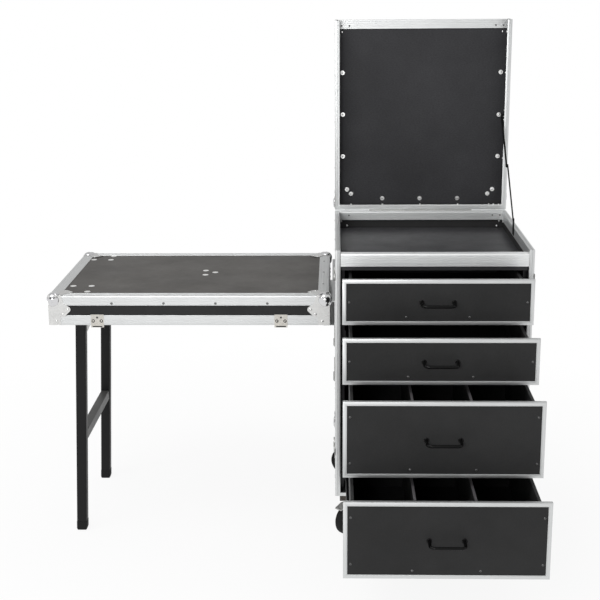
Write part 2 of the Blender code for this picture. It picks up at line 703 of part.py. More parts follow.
def build_lid(laminate, metal, frame):
    """Lid, standing open at the rear, with its profiles and ball corners."""
    panel_out = LID_TOP_Y - PANEL_INSET
    panel_in = panel_out - PANEL
    wall_start = LID_RIM_Y + RIM_WEB + GAP
    low, high = LID_NEAR_Z + PANEL_INSET, LID_FAR_Z - PANEL_INSET
    boards, hollow = Shape(), Shape()
    boards.box((-PANEL_OUTER, wall_start, low), (PANEL_OUTER, panel_out, high))
    hollow.box((-PANEL_INNER, wall_start - PANEL, low + PANEL), (PANEL_INNER, panel_in, high + PANEL))
    shell = boards.finish("lid_boards", laminate, frame)
    combine(shell, hollow.finish("lid_hollow", laminate, frame), "DIFFERENCE")
    combine(shell, upper_stay_bracket(laminate, frame))

    rim, edge = lid_rim_section(), angle_section(ANGLE_LEG, ANGLE_LEG)
    rims, edges, strip = Shape(), Shape(), Shape()
    corners = ((-1, "far"), (-1, "near"), (1, "near"), (1, "far"))

    def corner_z(end, p):
        return LID_NEAR_Z + p if end == "near" else LID_FAR_Z

    rims.loft([[(side * (HALF_WIDTH - p), LID_RIM_Y + q, corner_z(end, p)) for p, q in rim]
               for side, end in corners])
    edges.loft([[(side * (HALF_WIDTH - p), LID_TOP_Y - q, corner_z(end, p)) for p, q in edge]
                for side, end in corners])
    strip_depth = 2 * PANEL_INSET + PANEL
    strip.prism("X", [(LID_TOP_Y, LID_FAR_Z - STRIP_FACE), (LID_TOP_Y, LID_FAR_Z),
                      (LID_TOP_Y - strip_depth, LID_FAR_Z),
                      (LID_TOP_Y - strip_depth, LID_FAR_Z - STRIP_FACE),
                      (LID_TOP_Y - strip_depth + SKIN, LID_FAR_Z - STRIP_FACE),
                      (LID_TOP_Y - strip_depth + SKIN, LID_FAR_Z - SKIN),
                      (LID_TOP_Y - SKIN, LID_FAR_Z - SKIN),
                      (LID_TOP_Y - SKIN, LID_FAR_Z - STRIP_FACE)],
                -PANEL_INNER + GAP, PANEL_INNER - GAP)
    ties = Shape()
    for _, side in SIDES:
        ties.box((side * HALF_WIDTH, LID_RIM_Y + ANGLE_LEG - WELD, LID_FAR_Z - ANGLE_LEG),
                 (side * (HALF_WIDTH - SKIN), LID_TOP_Y - ANGLE_LEG + WELD, LID_FAR_Z))
        ties.box((side * (PANEL_INNER - 2 * GAP), LID_TOP_Y - SKIN, LID_FAR_Z - STRIP_FACE),
                 (side * (HALF_WIDTH - SKIN / 2), LID_TOP_Y, LID_FAR_Z))
    balls = [((side * HALF_WIDTH, LID_TOP_Y, LID_NEAR_Z), (side, 1, -1)) for _, side in SIDES]
    body = edges.finish("lid_profiles", metal, frame)
    combine(body, strip.finish("lid_strip", metal, frame))
    combine(body, ties.finish("lid_end_plates", metal, frame))
    combine(body, rims.finish("lid_rim", metal, frame))
    combine(body, ball_corners("lid_ball_corners", balls, metal, frame))


def build_hinge(material, frame):
    """Continuous hinge: odd knuckles, pin and leaf on the body, even knuckles and leaf on the lid."""
    start = -HINGE_LENGTH / 2
    pitch = HINGE_LENGTH / HINGE_KNUCKLES
    reach = HINGE_KNUCKLE + KNUCKLE_CLEARANCE
    leaf_y = BODY_DEPTH + GAP
    leaf_z = LID_NEAR_Z - GAP
    ring = [(HINGE_BORE, GAP), (HINGE_KNUCKLE, GAP), (HINGE_KNUCKLE, pitch - GAP),
            (HINGE_BORE, pitch - GAP)]
    lower, lower_parts, upper, upper_parts = Shape(), Shape(), Shape(), Shape()
    lower.box((start, leaf_y, RIM_Z - reach),
              (-start, leaf_y + LEAF_THICKNESS, RIM_Z - reach - HINGE_LEAF))
    upper.box((start, HINGE_Y + reach, leaf_z),
              (-start, HINGE_Y + reach + HINGE_LEAF, leaf_z - LEAF_THICKNESS))
    lower_parts.rod((start, HINGE_Y, RIM_Z), (-start, HINGE_Y, RIM_Z), HINGE_PIN, SMALL_SIDES)
    for k in range(HINGE_KNUCKLES):
        x0, x1 = start + k * pitch + GAP, start + (k + 1) * pitch - GAP
        if k % 2 == 0:
            lower_parts.rod((x0, HINGE_Y, RIM_Z), (x1, HINGE_Y, RIM_Z), HINGE_KNUCKLE)
            lower_parts.box((x0, leaf_y, RIM_Z - reach - WELD), (x1, leaf_y + LEAF_THICKNESS, RIM_Z))
        else:
            upper_parts.turned((x0 - GAP, HINGE_Y, RIM_Z), (1, 0, 0), ring, MEDIUM_SIDES)
            upper_parts.box((x0, HINGE_Y, leaf_z),
                            (x1, HINGE_Y + reach + WELD, leaf_z - LEAF_THICKNESS))
    low = lower.finish("hinge_lower_leaf", material)
    combine(low, lower_parts.finish("hinge_lower_knuckles", material))
    high = upper.finish("hinge_upper_leaf", material, frame)
    combine(high, upper_parts.finish("hinge_upper_knuckles", material, frame))


def stay_points():
    """Lower pivot, upper pivot and knee of the stay, as (y, z), with the lid open.

    The arms are as long together as the open span and a little slack. They differ by as
    much as the pivots lie apart when the lid is closed, so that they then fold flat.
    """
    lower = Vector((HINGE_Y - STAY_LOWER_RUN, RIM_Z + STAY_PIVOT_RISE))
    upper = Vector((HINGE_Y + STAY_PIVOT_RISE, RIM_Z + STAY_UPPER_RUN))
    span = (upper - lower).length
    lower_arm = (span + STAY_SLACK - (STAY_UPPER_RUN - STAY_LOWER_RUN)) / 2
    upper_arm = lower_arm + STAY_UPPER_RUN - STAY_LOWER_RUN
    along = (lower_arm ** 2 - upper_arm ** 2 + span ** 2) / (2 * span)
    sag = math.sqrt(lower_arm ** 2 - along ** 2)
    direction = (upper - lower) / span
    away = Vector((direction.y, -direction.x))
    return lower, upper, lower + direction * along + away * sag


def stay_planes():
    """Lower X limit of the lower and of the upper arm, which pass each other."""
    centre = HALF_WIDTH - STAY_CENTRE_INSET
    return centre + GAP, centre - GAP - STAY_ARM_THICKNESS


def stay_arm(name, material, frame, ends, x_low):
    """A flat arm with round ends and a bore at its first end."""
    start, end = ends
    direction = (end - start).normalized()
    across = Vector((-direction.y, direction.x))
    radius = STAY_ARM_WIDTH / 2
    outline = []
    for centre, sign in ((end, 1), (start, -1)):
        for k in range(BEND_STEPS * 2 + 1):
            angle = math.pi * k / (BEND_STEPS * 2) - math.pi / 2
            point = centre + sign * radius * (direction * math.cos(angle) + across * math.sin(angle))
            outline.append((point.x, point.y))
    arm, bore = Shape(), Shape()
    arm.prism("X", outline, x_low, x_low + STAY_ARM_THICKNESS)
    bore.rod((x_low - STAY_ARM_THICKNESS, start.x, start.y),
             (x_low + 2 * STAY_ARM_THICKNESS, start.x, start.y), STAY_BORE)
    body = arm.finish(name, material, frame)
    combine(body, bore.finish(name + "_bore", material, frame), "DIFFERENCE")


def build_stay(material, lid_frame):
    """Folding lid stay at the right: a bracket on the rim and two flat arms."""
    lower, upper, knee = stay_points()
    lower_x, upper_x = stay_planes()
    lower_frame = joint_frame("stay_lower_joint", (lower_x, lower.x, lower.y))
    upper_frame = joint_frame("stay_upper_joint", (upper_x, upper.x, upper.y), lid_frame)
    stay_arm("stay_lower_arm", material, lower_frame, (lower, knee), lower_x)
    stay_arm("stay_upper_arm", material, upper_frame, (upper, knee), upper_x)

    plate, stud = Shape(), Shape()
    half = STAY_BRACKET_WIDTH / 2
    plate_x = RIM_INNER - GAP
    plate.box((plate_x, lower.x - half, lower.y - STAY_BRACKET_FOOT),
              (plate_x - STAY_PLATE, lower.x + half, lower.y + STAY_ARM_WIDTH / 2))
    stud.rod((plate_x - STAY_PLATE / 2, lower.x, lower.y), (lower_x - GAP / 2, lower.x, lower.y),
             STAY_STUD)
    bracket = plate.finish("stay_lower_bracket", material)
    combine(bracket, stud.finish("stay_lower_stud", material))


def upper_stay_bracket(material, frame):
    """Plate and stud on the lid's right wall, as a tool for the lid's boards."""
    _, upper, _ = stay_points()
    half = STAY_BRACKET_WIDTH / 2
    plate_x = PANEL_INNER + WELD
    plate = Shape()
    plate.box((plate_x, upper.x - STAY_ARM_WIDTH / 2, upper.y - half),
              (plate_x - STAY_PLATE - WELD, upper.x + STAY_ARM_WIDTH / 2, upper.y + half))
    plate.rod((plate_x - STAY_PLATE, upper.x, upper.y),
              (stay_planes()[1] - STAY_ARM_THICKNESS / 2, upper.x, upper.y), STAY_STUD)
    return plate.finish("stay_upper_bracket", material, frame)


def build_cover(laminate, metal, steel, frame):
    """Front cover, lying with its outer face up, with the bracket of its legs."""
    mid_x, mid_y = (COVER_X0 + COVER_X1) / 2, BODY_WIDTH / 2
    half_x, half_y = COVER_LENGTH / 2, BODY_WIDTH / 2
    outer_x, outer_y = half_x - PANEL_INSET, half_y - PANEL_INSET
    panel_top = COVER_TOP - PANEL_INSET
    wall_low = COVER_BOTTOM + RIM_WEB + GAP

    boards = Shape()
    boards.open_box(lambda x, y, depth: (x, y, wall_low + depth),
                    ((mid_x - outer_x, mid_x + outer_x), (mid_y - outer_y, mid_y + outer_y),
                     panel_top - wall_low), PANEL, PANEL)
    boards.finish("cover_boards", laminate, frame)

    top = Shape()
    top.frame(angle_section(COVER_TOP_LEG, COVER_SIDE_LEG),
              lambda u, v, p, q: (mid_x + u * (half_x - p), mid_y + v * (half_y - p), COVER_TOP - q))
    corners = [((mid_x + u * half_x, mid_y + v * half_y, COVER_TOP), (u, v, 1))
               for u in (-1, 1) for v in (-1, 1)]
    top_frame = top.finish("cover_top_frame", metal, frame)
    combine(top_frame, ball_corners("cover_ball_corners", corners, metal, frame))

    rim, keepers = Shape(), Shape()
    rim.frame(rim_section(COVER_SIDE_LEG, COVER_INNER_LEG),
              lambda u, v, p, q: (mid_x + u * (half_x - p), mid_y + v * (half_y - p),
                                  COVER_BOTTOM + q))
    for x in (COVER_X0 + KEEPER_SPACING, COVER_X1 - KEEPER_SPACING):
        for face, out in ((0, -1), (BODY_WIDTH, 1)):
            keepers.box((x - KEEPER_WIDTH / 2, face - out * WELD, COVER_BOTTOM - KEEPER_DROP),
                        (x + KEEPER_WIDTH / 2, face + out * SKIN, COVER_BOTTOM + KEEPER_HEIGHT))
    rim_frame = rim.finish("cover_rim_frame", metal, frame)
    combine(rim_frame, keepers.finish("latch_keepers", metal, frame))

    plate, cheeks = Shape(), Shape()
    plate_top = panel_top - PANEL - GAP
    half = LEG_CHEEK_WIDTH / 2
    end = LEG_SECTION / 2 + 2 * GAP + LEG_CHEEK
    plate.box((LEG_PIVOT_X - half, LEG_FRONT_Y - end, plate_top - LEG_CHEEK),
              (LEG_PIVOT_X + half, LEG_REAR_Y + end, plate_top))
    for y in (LEG_FRONT_Y, LEG_REAR_Y):
        for sign in (-1, 1):
            cheeks.box((LEG_PIVOT_X - half + WELD, y + sign * end, LEG_PIVOT_Z - LEG_CHEEK_DROP),
                       (LEG_PIVOT_X + half - WELD, y + sign * (end - LEG_CHEEK),
                        plate_top - LEG_CHEEK / 2))
        reach = end - LEG_CHEEK / 2
        cheeks.rod((LEG_PIVOT_X, y - reach, LEG_PIVOT_Z), (LEG_PIVOT_X, y + reach, LEG_PIVOT_Z),
                   LEG_PIN)
    bracket = plate.finish("leg_bracket", steel, frame)
    combine(bracket, cheeks.finish("leg_bracket_cheeks", steel, frame))


def leg_x(z):
    """Centre of a leg at a height: the legs lean outwards towards the floor."""
    return LEG_PIVOT_X - (LEG_PIVOT_Z - z) * math.tan(LEG_LEAN)


def build_legs(material, cover_frame):
    """Folding leg frame of the table: two square legs, crossbar and gussets."""
    frame = joint_frame("leg_joint", (LEG_PIVOT_X, (LEG_FRONT_Y + LEG_REAR_Y) / 2, LEG_PIVOT_Z),
                        cover_frame)
    shape, ties, bores = Shape(), Shape(), Shape()
    half = LEG_SECTION / 2
    reach = half - 10 * WELD
    for y in (LEG_FRONT_Y, LEG_REAR_Y):
        loops = []
        for z in (LEG_PIVOT_Z + half, 0):
            x = leg_x(z)
            loops.append([(x - half, y - half, z), (x + half, y - half, z),
                          (x + half, y + half, z), (x - half, y + half, z)])
        shape.loft(loops)
        bores.rod((LEG_PIVOT_X, y - LEG_SECTION, LEG_PIVOT_Z), (LEG_PIVOT_X, y + LEG_SECTION, LEG_PIVOT_Z),
                  LEG_BORE)
        top = LEG_PIVOT_Z - GUSSET_DROP
        edge = leg_x(top) + reach
        ties.prism("Y", [(edge, top), (edge + GUSSET_REACH, top), (edge, top - GUSSET_HEIGHT)],
                   y - GUSSET_THICKNESS / 2, y + GUSSET_THICKNESS / 2)
    low, high = CROSSBAR_BOTTOM, CROSSBAR_BOTTOM + CROSSBAR_HEIGHT
    left = leg_x(high) - half + CROSSBAR_INSET
    right = leg_x(low) + half - CROSSBAR_INSET
    angle = [(left, high), (left, high - CROSSBAR_WALL), (right - CROSSBAR_WALL, high - CROSSBAR_WALL),
             (right - CROSSBAR_WALL, low), (right, low), (right, high)]
    ties.prism("Y", angle, LEG_FRONT_Y + reach, LEG_REAR_Y - reach)
    legs = shape.finish("leg_frame", material, frame)
    combine(legs, ties.finish("leg_ties", material, frame))
    combine(legs, bores.finish("leg_bores", material, frame), "DIFFERENCE")


def build_hook_rail(material):
    """Rail on the case's left side whose shelf carries the cover's inner end."""
    top = COVER_TOP - HOOK_TOP_DROP
    shelf = COVER_BOTTOM - GAP
    wall = -HALF_WIDTH - GAP
    shelf_end = COVER_X1 - RIM_FACE - GAP - HOOK_WALL
    outline = [(wall, top), (wall - HOOK_LIP, top), (wall - HOOK_LIP, top - HOOK_WALL),
               (wall - HOOK_WALL, top - HOOK_WALL), (wall - HOOK_WALL, shelf),
               (shelf_end, shelf), (shelf_end, shelf - HOOK_WALL), (wall, shelf - HOOK_WALL)]
    rail, upturn = Shape(), Shape()
    rail.prism("Y", outline, HOOK_FRONT_INSET, BODY_WIDTH - HOOK_REAR_INSET)
    inset = RIM_FACE + DRAWER_GAP
    upturn.box((shelf_end, inset, shelf - HOOK_WALL / 2),
               (shelf_end + HOOK_WALL, BODY_WIDTH - inset, shelf + HOOK_UPTURN))
    body = rail.finish("hook_rail", material)
    combine(body, upturn.finish("hook_upturn", material))


def build_bails(material):
    """Sprung handles that hang in the dishes."""
    for name, side in SIDES:
        for place, y in zip(("front", "rear"), HANDLE_DISH_PLACES):
            pivot = Vector((side * PANEL_OUTER, y, handle_dish_z() + BAIL_DROP / 2))
            frame = joint_frame(f"handle_{name}_{place}_joint", pivot)
            half = Vector((0, BAIL_WIDTH / 2, 0))
            rise = Vector((0, 0, BAIL_STUB))
            shape = Shape()
            shape.tube(bow_points(pivot - half + rise, pivot + half + rise,
                                  (0, 0, -BAIL_DROP - BAIL_STUB), BAIL_RADIUS * 2), BAIL_RADIUS)
            shape.finish(f"handle_bail_{name}_{place}", material, frame)


def build_latches(material):
    """Turning latches: a wing, its hub and the hook that it draws."""
    y = LATCH_SETBACK
    floor = PANEL_OUTER - LATCH_POCKET_DEPTH + GAP
    hook = HALF_WIDTH + GAP
    wing = hook + HOOK_THICKNESS - WELD
    waist = WING_WIDTH / 4
    for name, side in SIDES:
        for place, z in zip(("lower", "upper"), latch_heights()):
            frame = joint_frame(f"latch_{name}_{place}_joint", (side * HALF_WIDTH, y, z))
            blade, hub = Shape(), Shape()
            outline = []
            for sign in (1, -1):
                outline += [(y + sign * waist, z), (y + sign * WING_WIDTH / 2, z + sign * WING_SPAN / 3),
                            (y + sign * WING_WIDTH / 3, z + sign * WING_SPAN / 2),
                            (y - sign * WING_WIDTH / 3, z + sign * WING_SPAN / 2),
                            (y - sign * WING_WIDTH / 2, z + sign * WING_SPAN / 3)]
            blade.prism("X", outline, side * wing, side * (wing + WING_THICKNESS))
            hub.rod((side * floor, y, z), (side * (wing + WING_THICKNESS / 2), y, z), WING_HUB)
            hub.box((side * hook, y + WING_HUB / 2, z - HOOK_WIDTH / 2),
                    (side * (hook + HOOK_THICKNESS), y - HOOK_REACH, z + HOOK_WIDTH / 2))
            body = blade.finish(f"latch_wing_{name}_{place}", material, frame)
            combine(body, hub.finish(f"latch_hook_{name}_{place}", material, frame))


def castor_places():
    """Name, swivel axis and direction of trail of each castor."""
    corners = (("front_left", -CASTOR_X, CASTOR_FRONT_INSET),
               ("front_right", CASTOR_X, CASTOR_FRONT_INSET),
               ("rear_left", -CASTOR_X, CASTOR_REAR_Y), ("rear_right", CASTOR_X, CASTOR_REAR_Y))
    return [(name, x, y, math.radians(turn)) for (name, x, y), turn in zip(corners, CASTOR_TURNS)]


def build_castors(zinc, rubber):
    """Castors: forks with axles, wheels and, at the front, brake pedals."""
    for name, x, y, turn in castor_places():
        swivel = joint_frame(f"castor_{name}_swivel", (x, y, CROWN_Z))
        axle = Vector((x + CASTOR_TRAIL, y, WHEEL_RADIUS))
        inner = WHEEL_WIDTH / 2 + FORK_CLEARANCE
        outer = inner + FORK_WALL
        crown = CROWN_Z - GAP
        low = WHEEL_RADIUS - FORK_FOOT_WIDTH / 2
        outline = [(y - outer, low), (y - inner, low), (y - inner, crown - FORK_WALL),
                   (y + inner, crown - FORK_WALL), (y + inner, low), (y + outer, low),
                   (y + outer, crown), (y - outer, crown)]
        loops = []
        for end in (-1, 1):
            loop = []
            for across, z in outline:
                upper = z > WHEEL_RADIUS
                centre = x if upper else axle.x
                half = FORK_WIDTH / 2 if upper else FORK_FOOT_WIDTH / 2
                loop.append((centre + end * half, across, z))
            loops.append(loop)
        fork, bolt = Shape(), Shape()
        fork.loft(loops)
        reach = Vector((0, inner + FORK_WALL / 2, 0))
        bolt.rod(axle - reach, axle + reach, AXLE_RADIUS)
        fork.turn((x, y, 0), "Z", turn)
        bolt.turn((x, y, 0), "Z", turn)
        body = fork.finish(f"castor_fork_{name}", zinc, swivel)
        combine(body, bolt.finish(f"castor_axle_{name}", zinc, swivel))

        trail = CASTOR_TRAIL * Vector((math.cos(turn), math.sin(turn), 0))
        spin = joint_frame(f"castor_{name}_spin", Vector((x, y, WHEEL_RADIUS)) + trail, swivel)
        half = WHEEL_WIDTH / 2
        shoulder = half - WHEEL_SHOULDER
        hub, dish, tread = (WHEEL_RADIUS * share for share in (HUB_SHARE, DISH_SHARE, TREAD_SHARE))
        wheel = Shape()
        wheel.turned(axle, (0, 1, 0), [(WHEEL_BORE, -half), (hub, -half), (dish, -shoulder),
                                       (tread, -half), (WHEEL_RADIUS, -shoulder),
                                       (WHEEL_RADIUS, shoulder), (tread, half), (dish, shoulder),
                                       (hub, half), (WHEEL_BORE, half)])
        wheel.turn((x, y, 0), "Z", turn)
        wheel.finish(f"castor_wheel_{name}", rubber, spin)
        if name.startswith("front"):
            build_brake(name, (x, y, turn), zinc, swivel)


def build_brake(name, place, material, swivel):
    """Brake pedal: a plate that reaches out over the wheel from a round hub."""
    x, y, turn = place
    start = x + FORK_WIDTH / 2 + BRAKE_HUB + 2 * GAP
    z = CROWN_Z - BRAKE_DROP
    half = BRAKE_WIDTH / 2
    pivot = Matrix.Rotation(turn, 3, "Z") @ Vector((start - x, 0, z)) + Vector((x, y, 0))
    frame = joint_frame(f"castor_{name}_brake", pivot, swivel)
    hub, pedal = Shape(), Shape()
    hub.rod((start, y - half, z), (start, y + half, z), BRAKE_HUB, SMALL_SIDES)
    bend, end = start + BRAKE_LENGTH / 2, start + BRAKE_LENGTH
    top, low = z + BRAKE_THICKNESS / 2, z - BRAKE_THICKNESS / 2
    tip = low - BRAKE_TIP_DROP
    pedal.prism("Y", [(start, low), (bend, low), (end, tip),
                      (end - BRAKE_THICKNESS / 2, tip + BRAKE_THICKNESS),
                      (bend, top), (start, top)],
                y - half + WELD, y + half - WELD)
    hub.turn((x, y, 0), "Z", turn)
    pedal.turn((x, y, 0), "Z", turn)
    body = hub.finish(f"brake_pedal_{name}", material, frame)
    combine(body, pedal.finish(f"brake_plate_{name}", material, frame))


def build():
    """Build the whole case."""
    clear_scene()
    laminate = surface("black_laminate", (0.032, 0.032, 0.034), 0.55, 0.0)
    table = surface("grey_laminate", (0.14, 0.13, 0.12), 0.55, 0.0)
    wood = surface("plywood", (0.09, 0.07, 0.05), 0.7, 0.0)
    aluminium = surface("aluminium", (0.72, 0.73, 0.73), 0.32, 1.0)
    steel = surface("zinc_plated_steel", (0.45, 0.46, 0.47), 0.35, 1.0)
    black_metal = surface("black_metal", (0.02, 0.02, 0.021), 0.45, 0.0)
    rubber = surface("black_rubber", (0.015, 0.015, 0.015), 0.8, 0.0)

    for name, side in SIDES:
        build_side_panel(name, side, laminate)
        build_slide_rack(name, side, steel)
    build_boards(laminate, wood)
    build_body_profiles(aluminium)
    for index in range(len(FRONT_HEIGHTS)):
        build_drawer(index, laminate, black_metal, steel)

    lid_frame = joint_frame("lid_joint", (0, HINGE_Y, RIM_Z))
    build_lid(laminate, aluminium, lid_frame)
    build_hinge(steel, lid_frame)
    build_stay(black_metal, lid_frame)

    cover_frame = joint_frame("cover_joint", ((COVER_X0 + COVER_X1) / 2, BODY_WIDTH / 2, COVER_BOTTOM))
    build_cover(table, aluminium, steel, cover_frame)
    build_legs(black_metal, cover_frame)
    build_hook_rail(aluminium)
    build_bails(black_metal)
    build_latches(steel)
    build_castors(steel, rubber)
    centre_model()


build()
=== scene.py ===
"""Looks of the production case: boards, profiles, fittings, finishes, light and camera.

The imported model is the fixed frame. Every piece is drawn in the case's own coordinates
(centre line X, front rim plane Y, floor Z) and moved to the frame's origin when finished.
"""

from __future__ import annotations

import json
import logging
import math
from dataclasses import dataclass, field
from enum import Enum
from typing import Any, Callable, ClassVar, Iterable, Sequence

import bmesh
import bpy
from mathutils import Matrix, Vector

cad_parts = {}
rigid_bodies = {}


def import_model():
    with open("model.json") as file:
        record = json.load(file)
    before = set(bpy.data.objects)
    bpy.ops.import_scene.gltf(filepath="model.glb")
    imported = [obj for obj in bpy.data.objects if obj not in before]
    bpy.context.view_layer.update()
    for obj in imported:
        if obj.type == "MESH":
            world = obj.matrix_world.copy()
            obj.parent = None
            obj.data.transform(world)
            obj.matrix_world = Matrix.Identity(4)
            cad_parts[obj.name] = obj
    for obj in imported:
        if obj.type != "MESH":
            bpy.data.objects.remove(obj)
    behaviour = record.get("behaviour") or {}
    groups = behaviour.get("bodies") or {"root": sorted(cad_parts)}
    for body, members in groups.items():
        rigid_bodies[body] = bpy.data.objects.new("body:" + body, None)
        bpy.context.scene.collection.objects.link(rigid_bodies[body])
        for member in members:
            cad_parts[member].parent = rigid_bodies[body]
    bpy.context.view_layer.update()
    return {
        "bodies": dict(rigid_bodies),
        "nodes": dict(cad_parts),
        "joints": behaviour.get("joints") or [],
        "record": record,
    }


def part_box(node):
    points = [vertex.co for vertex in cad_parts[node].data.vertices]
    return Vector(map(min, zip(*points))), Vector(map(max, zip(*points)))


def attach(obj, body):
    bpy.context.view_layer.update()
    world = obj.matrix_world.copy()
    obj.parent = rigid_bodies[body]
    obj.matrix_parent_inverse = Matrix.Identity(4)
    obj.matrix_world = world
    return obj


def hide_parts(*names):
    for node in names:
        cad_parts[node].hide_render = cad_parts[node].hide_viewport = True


LOG = logging.getLogger("production_case")

Point = Sequence[float]
Pair = tuple[float, float]
Section = list[Pair]
Socket = bpy.types.NodeSocket


class Side(Enum):
    """The two sides of the case, as the sign of X."""

    LEFT = -1
    RIGHT = 1

    @property
    def word(self) -> str:
        """The side's name as the frame's nodes use it."""
        return self.name.lower()

    @property
    def out(self) -> tuple[int, int, int]:
        """The direction out of the side."""
        return (self.value, 0, 0)


class Grain(Enum):
    """The direction in which a profile was drawn, as stretch factors for its fine lines."""

    ALONG_X = (0.004, 1.0, 1.0)
    ALONG_Y = (1.0, 0.004, 1.0)
    ALONG_Z = (1.0, 1.0, 0.004)


class Slot(Enum):
    """Material slots of the record."""

    LAMINATE = "black_laminate"
    TABLE = "grey_laminate"
    PLYWOOD = "plywood"
    ALUMINIUM = "aluminium"
    STEEL = "zinc_steel"
    BLACK = "black_metal"
    RUBBER = "black_rubber"


@dataclass(frozen=True)
class Sizes:
    """Sizes of the case that several sub-assemblies share, in metres."""

    half_width: float = 0.300
    depth: float = 0.650
    bottom: float = 0.154
    rim: float = 0.952
    panel: float = 0.009
    skin: float = 0.0015
    gap: float = 0.0003
    rim_face: float = 0.0165
    rim_web: float = 0.002
    leg: float = 0.030
    hinge_y: float = 0.654
    lid_near: float = 0.956
    lid_far: float = 1.606
    lid_rim_y: float = 0.6543
    lid_top_y: float = 0.718
    cover_x0: float = -1.1795
    cover_x1: float = -0.3175
    cover_top: float = 0.811
    cover_bottom: float = 0.718
    panel_inset: float = 0.0018
    ball_radius: float = 0.0203
    ball_inset: float = 0.013
    proud: float = 0.0001
    handle_places: Pair = (0.140, 0.520)
    handle_z: float = 0.530
    handle_pivot: float = 0.021
    latch_places: Pair = (0.3025, 0.8675)
    latch_y: float = 0.066
    stay_lower: Pair = (0.345, 0.978)
    stay_upper: Pair = (0.680, 1.282)

    @property
    def panel_outer(self) -> float:
        """Half width over the side panels."""
        return self.half_width - self.panel_inset

    @property
    def panel_inner(self) -> float:
        """Half width between the side panels."""
        return self.panel_outer - self.panel

    @property
    def rim_inner(self) -> float:
        """Half width between the side rims."""
        return self.half_width - self.rim_face

    def x(self, side: Side, depth: float = 0.0) -> float:
        """X of a point that lies a depth inside the face of one side."""
        return side.value * (self.half_width - depth)

    @property
    def profile_grooves(self) -> list[float]:
        """Places of the fine grooves on a leg of an edge profile."""
        return [self.leg * 0.24, self.leg * 0.44, self.leg * 0.64, self.leg - 0.0032]


SIZES = Sizes()

# Signs of four corners: in order round a rectangle, and row by row
SQUARE = ((-1, -1), (1, -1), (1, 1), (-1, 1))
QUARTERS = ((-1, -1), (-1, 1), (1, -1), (1, 1))
FRONT, REAR, UP, DOWN = (0, -1, 0), (0, 1, 0), (0, 0, 1), (0, 0, -1)


# Mesh making


def groove_points(grooves: Iterable[float], width: float = 0.0016, depth: float = 0.0006) -> Section:
    """Points of a drawn face that dips into grooves.

    Args:
        grooves: Distance of each groove along the face.
        width: Width of a groove at the face.
        depth: Depth of a groove.

    Returns:
        Pairs of (distance along the face, depth below it).
    """
    points: Section = []
    for centre in grooves:
        points += [(centre - width / 2, 0.0), (centre - width / 4, depth),
                   (centre + width / 4, depth), (centre + width / 2, 0.0)]
    return points


def drawn_angle(leg_p: float, leg_q: float, grooves_p: Iterable[float] = (),
                grooves_q: Iterable[float] = (), wall: float = SIZES.skin) -> Section:
    """Outline of a grooved angle profile with its rounded outer corner at the origin.

    Args:
        leg_p: Length of the leg along p.
        leg_q: Length of the leg along q.
        grooves_p: Grooves on the outside of the leg along p.
        grooves_q: Grooves on the outside of the leg along q.
        wall: Thickness of both legs.

    Returns:
        The closed outline as (p, q) pairs.
    """
    lip = wall * 0.4
    corner = 0.0012
    outline = [(lip, leg_q), (0.0, leg_q - lip)]
    outline += [(into, along) for along, into in reversed(groove_points(grooves_q))]
    outline += [(0.0, corner), (corner * 0.3, corner * 0.3), (corner, 0.0)]
    outline += groove_points(grooves_p)
    outline += [(leg_p - lip, 0.0), (leg_p, lip), (leg_p, wall), (wall, wall), (wall, leg_q)]
    return outline


def drawn_rim(outer_leg: float, inner_leg: float, grooves_outer: Iterable[float] = (),
              grooves_face: Iterable[float] = (), grooves_inner: Iterable[float] = ()) -> Section:
    """Outline of a rim profile: a face over the board's edge with an outer and an inner leg.

    Args:
        outer_leg: Length of the outer leg, from the face.
        inner_leg: Length of the inner leg; no longer than the face's web means no leg.
        grooves_outer: Grooves on the outer leg.
        grooves_face: Grooves on the face.
        grooves_inner: Grooves on the inner leg.

    Returns:
        The closed outline as (distance across the face, distance from the face) pairs.
    """
    face, web, wall = SIZES.rim_face, SIZES.rim_web, SIZES.skin
    lip, corner = wall * 0.4, 0.0010
    outline = [(lip, outer_leg), (0.0, outer_leg - lip)]
    outline += [(into, along) for along, into in reversed(groove_points(grooves_outer))]
    outline += [(0.0, corner), (corner * 0.3, corner * 0.3), (corner, 0.0)]
    outline += groove_points(grooves_face, 0.0030, 0.0010)
    outline += [(face - corner, 0.0), (face - corner * 0.3, corner * 0.3), (face, corner)]
    if inner_leg > web:
        outline += [(face - into, along) for along, into in groove_points(grooves_inner)]
        outline += [(face, inner_leg - lip), (face - lip, inner_leg), (face - wall, inner_leg),
                    (face - wall, web)]
    else:
        outline += [(face, web)]
    outline += [(wall, web), (wall, outer_leg)]
    return outline


def arc(centre: Point, radius: float, start: float, sweep: float, steps: int) -> Section:
    """Points at equal steps of an arc, both ends included; start and sweep are in degrees."""
    turns = [math.radians(start + sweep * k / steps) for k in range(steps + 1)]
    return [(centre[0] + radius * math.cos(turn), centre[1] + radius * math.sin(turn)) for turn in turns]


def rounded_rectangle(width: float, height: float, radius: float, steps: int = 4) -> Section:
    """Outline of a rectangle with round corners about the origin."""
    a, b = width / 2 - radius, height / 2 - radius
    return [point for number, centre in enumerate(((a, b), (-a, b), (-a, -b), (a, -b)))
            for point in arc(centre, radius, 90 * number, 90, steps)]


def spokes(axis: Point, sides: int) -> tuple[Vector, list[Vector]]:
    """The direction of an axis and equal spokes about it."""
    direction = Vector(axis).normalized()
    out = direction.orthogonal().normalized()
    across = direction.cross(out)
    turns = [2 * math.pi * k / sides for k in range(sides)]
    return direction, [out * math.cos(turn) + across * math.sin(turn) for turn in turns]


def new_object(name: str, data: bpy.types.ID) -> bpy.types.Object:
    """Make an object and link it to the scene."""
    made = bpy.data.objects.new(name, data)
    bpy.context.scene.collection.objects.link(made)
    return made


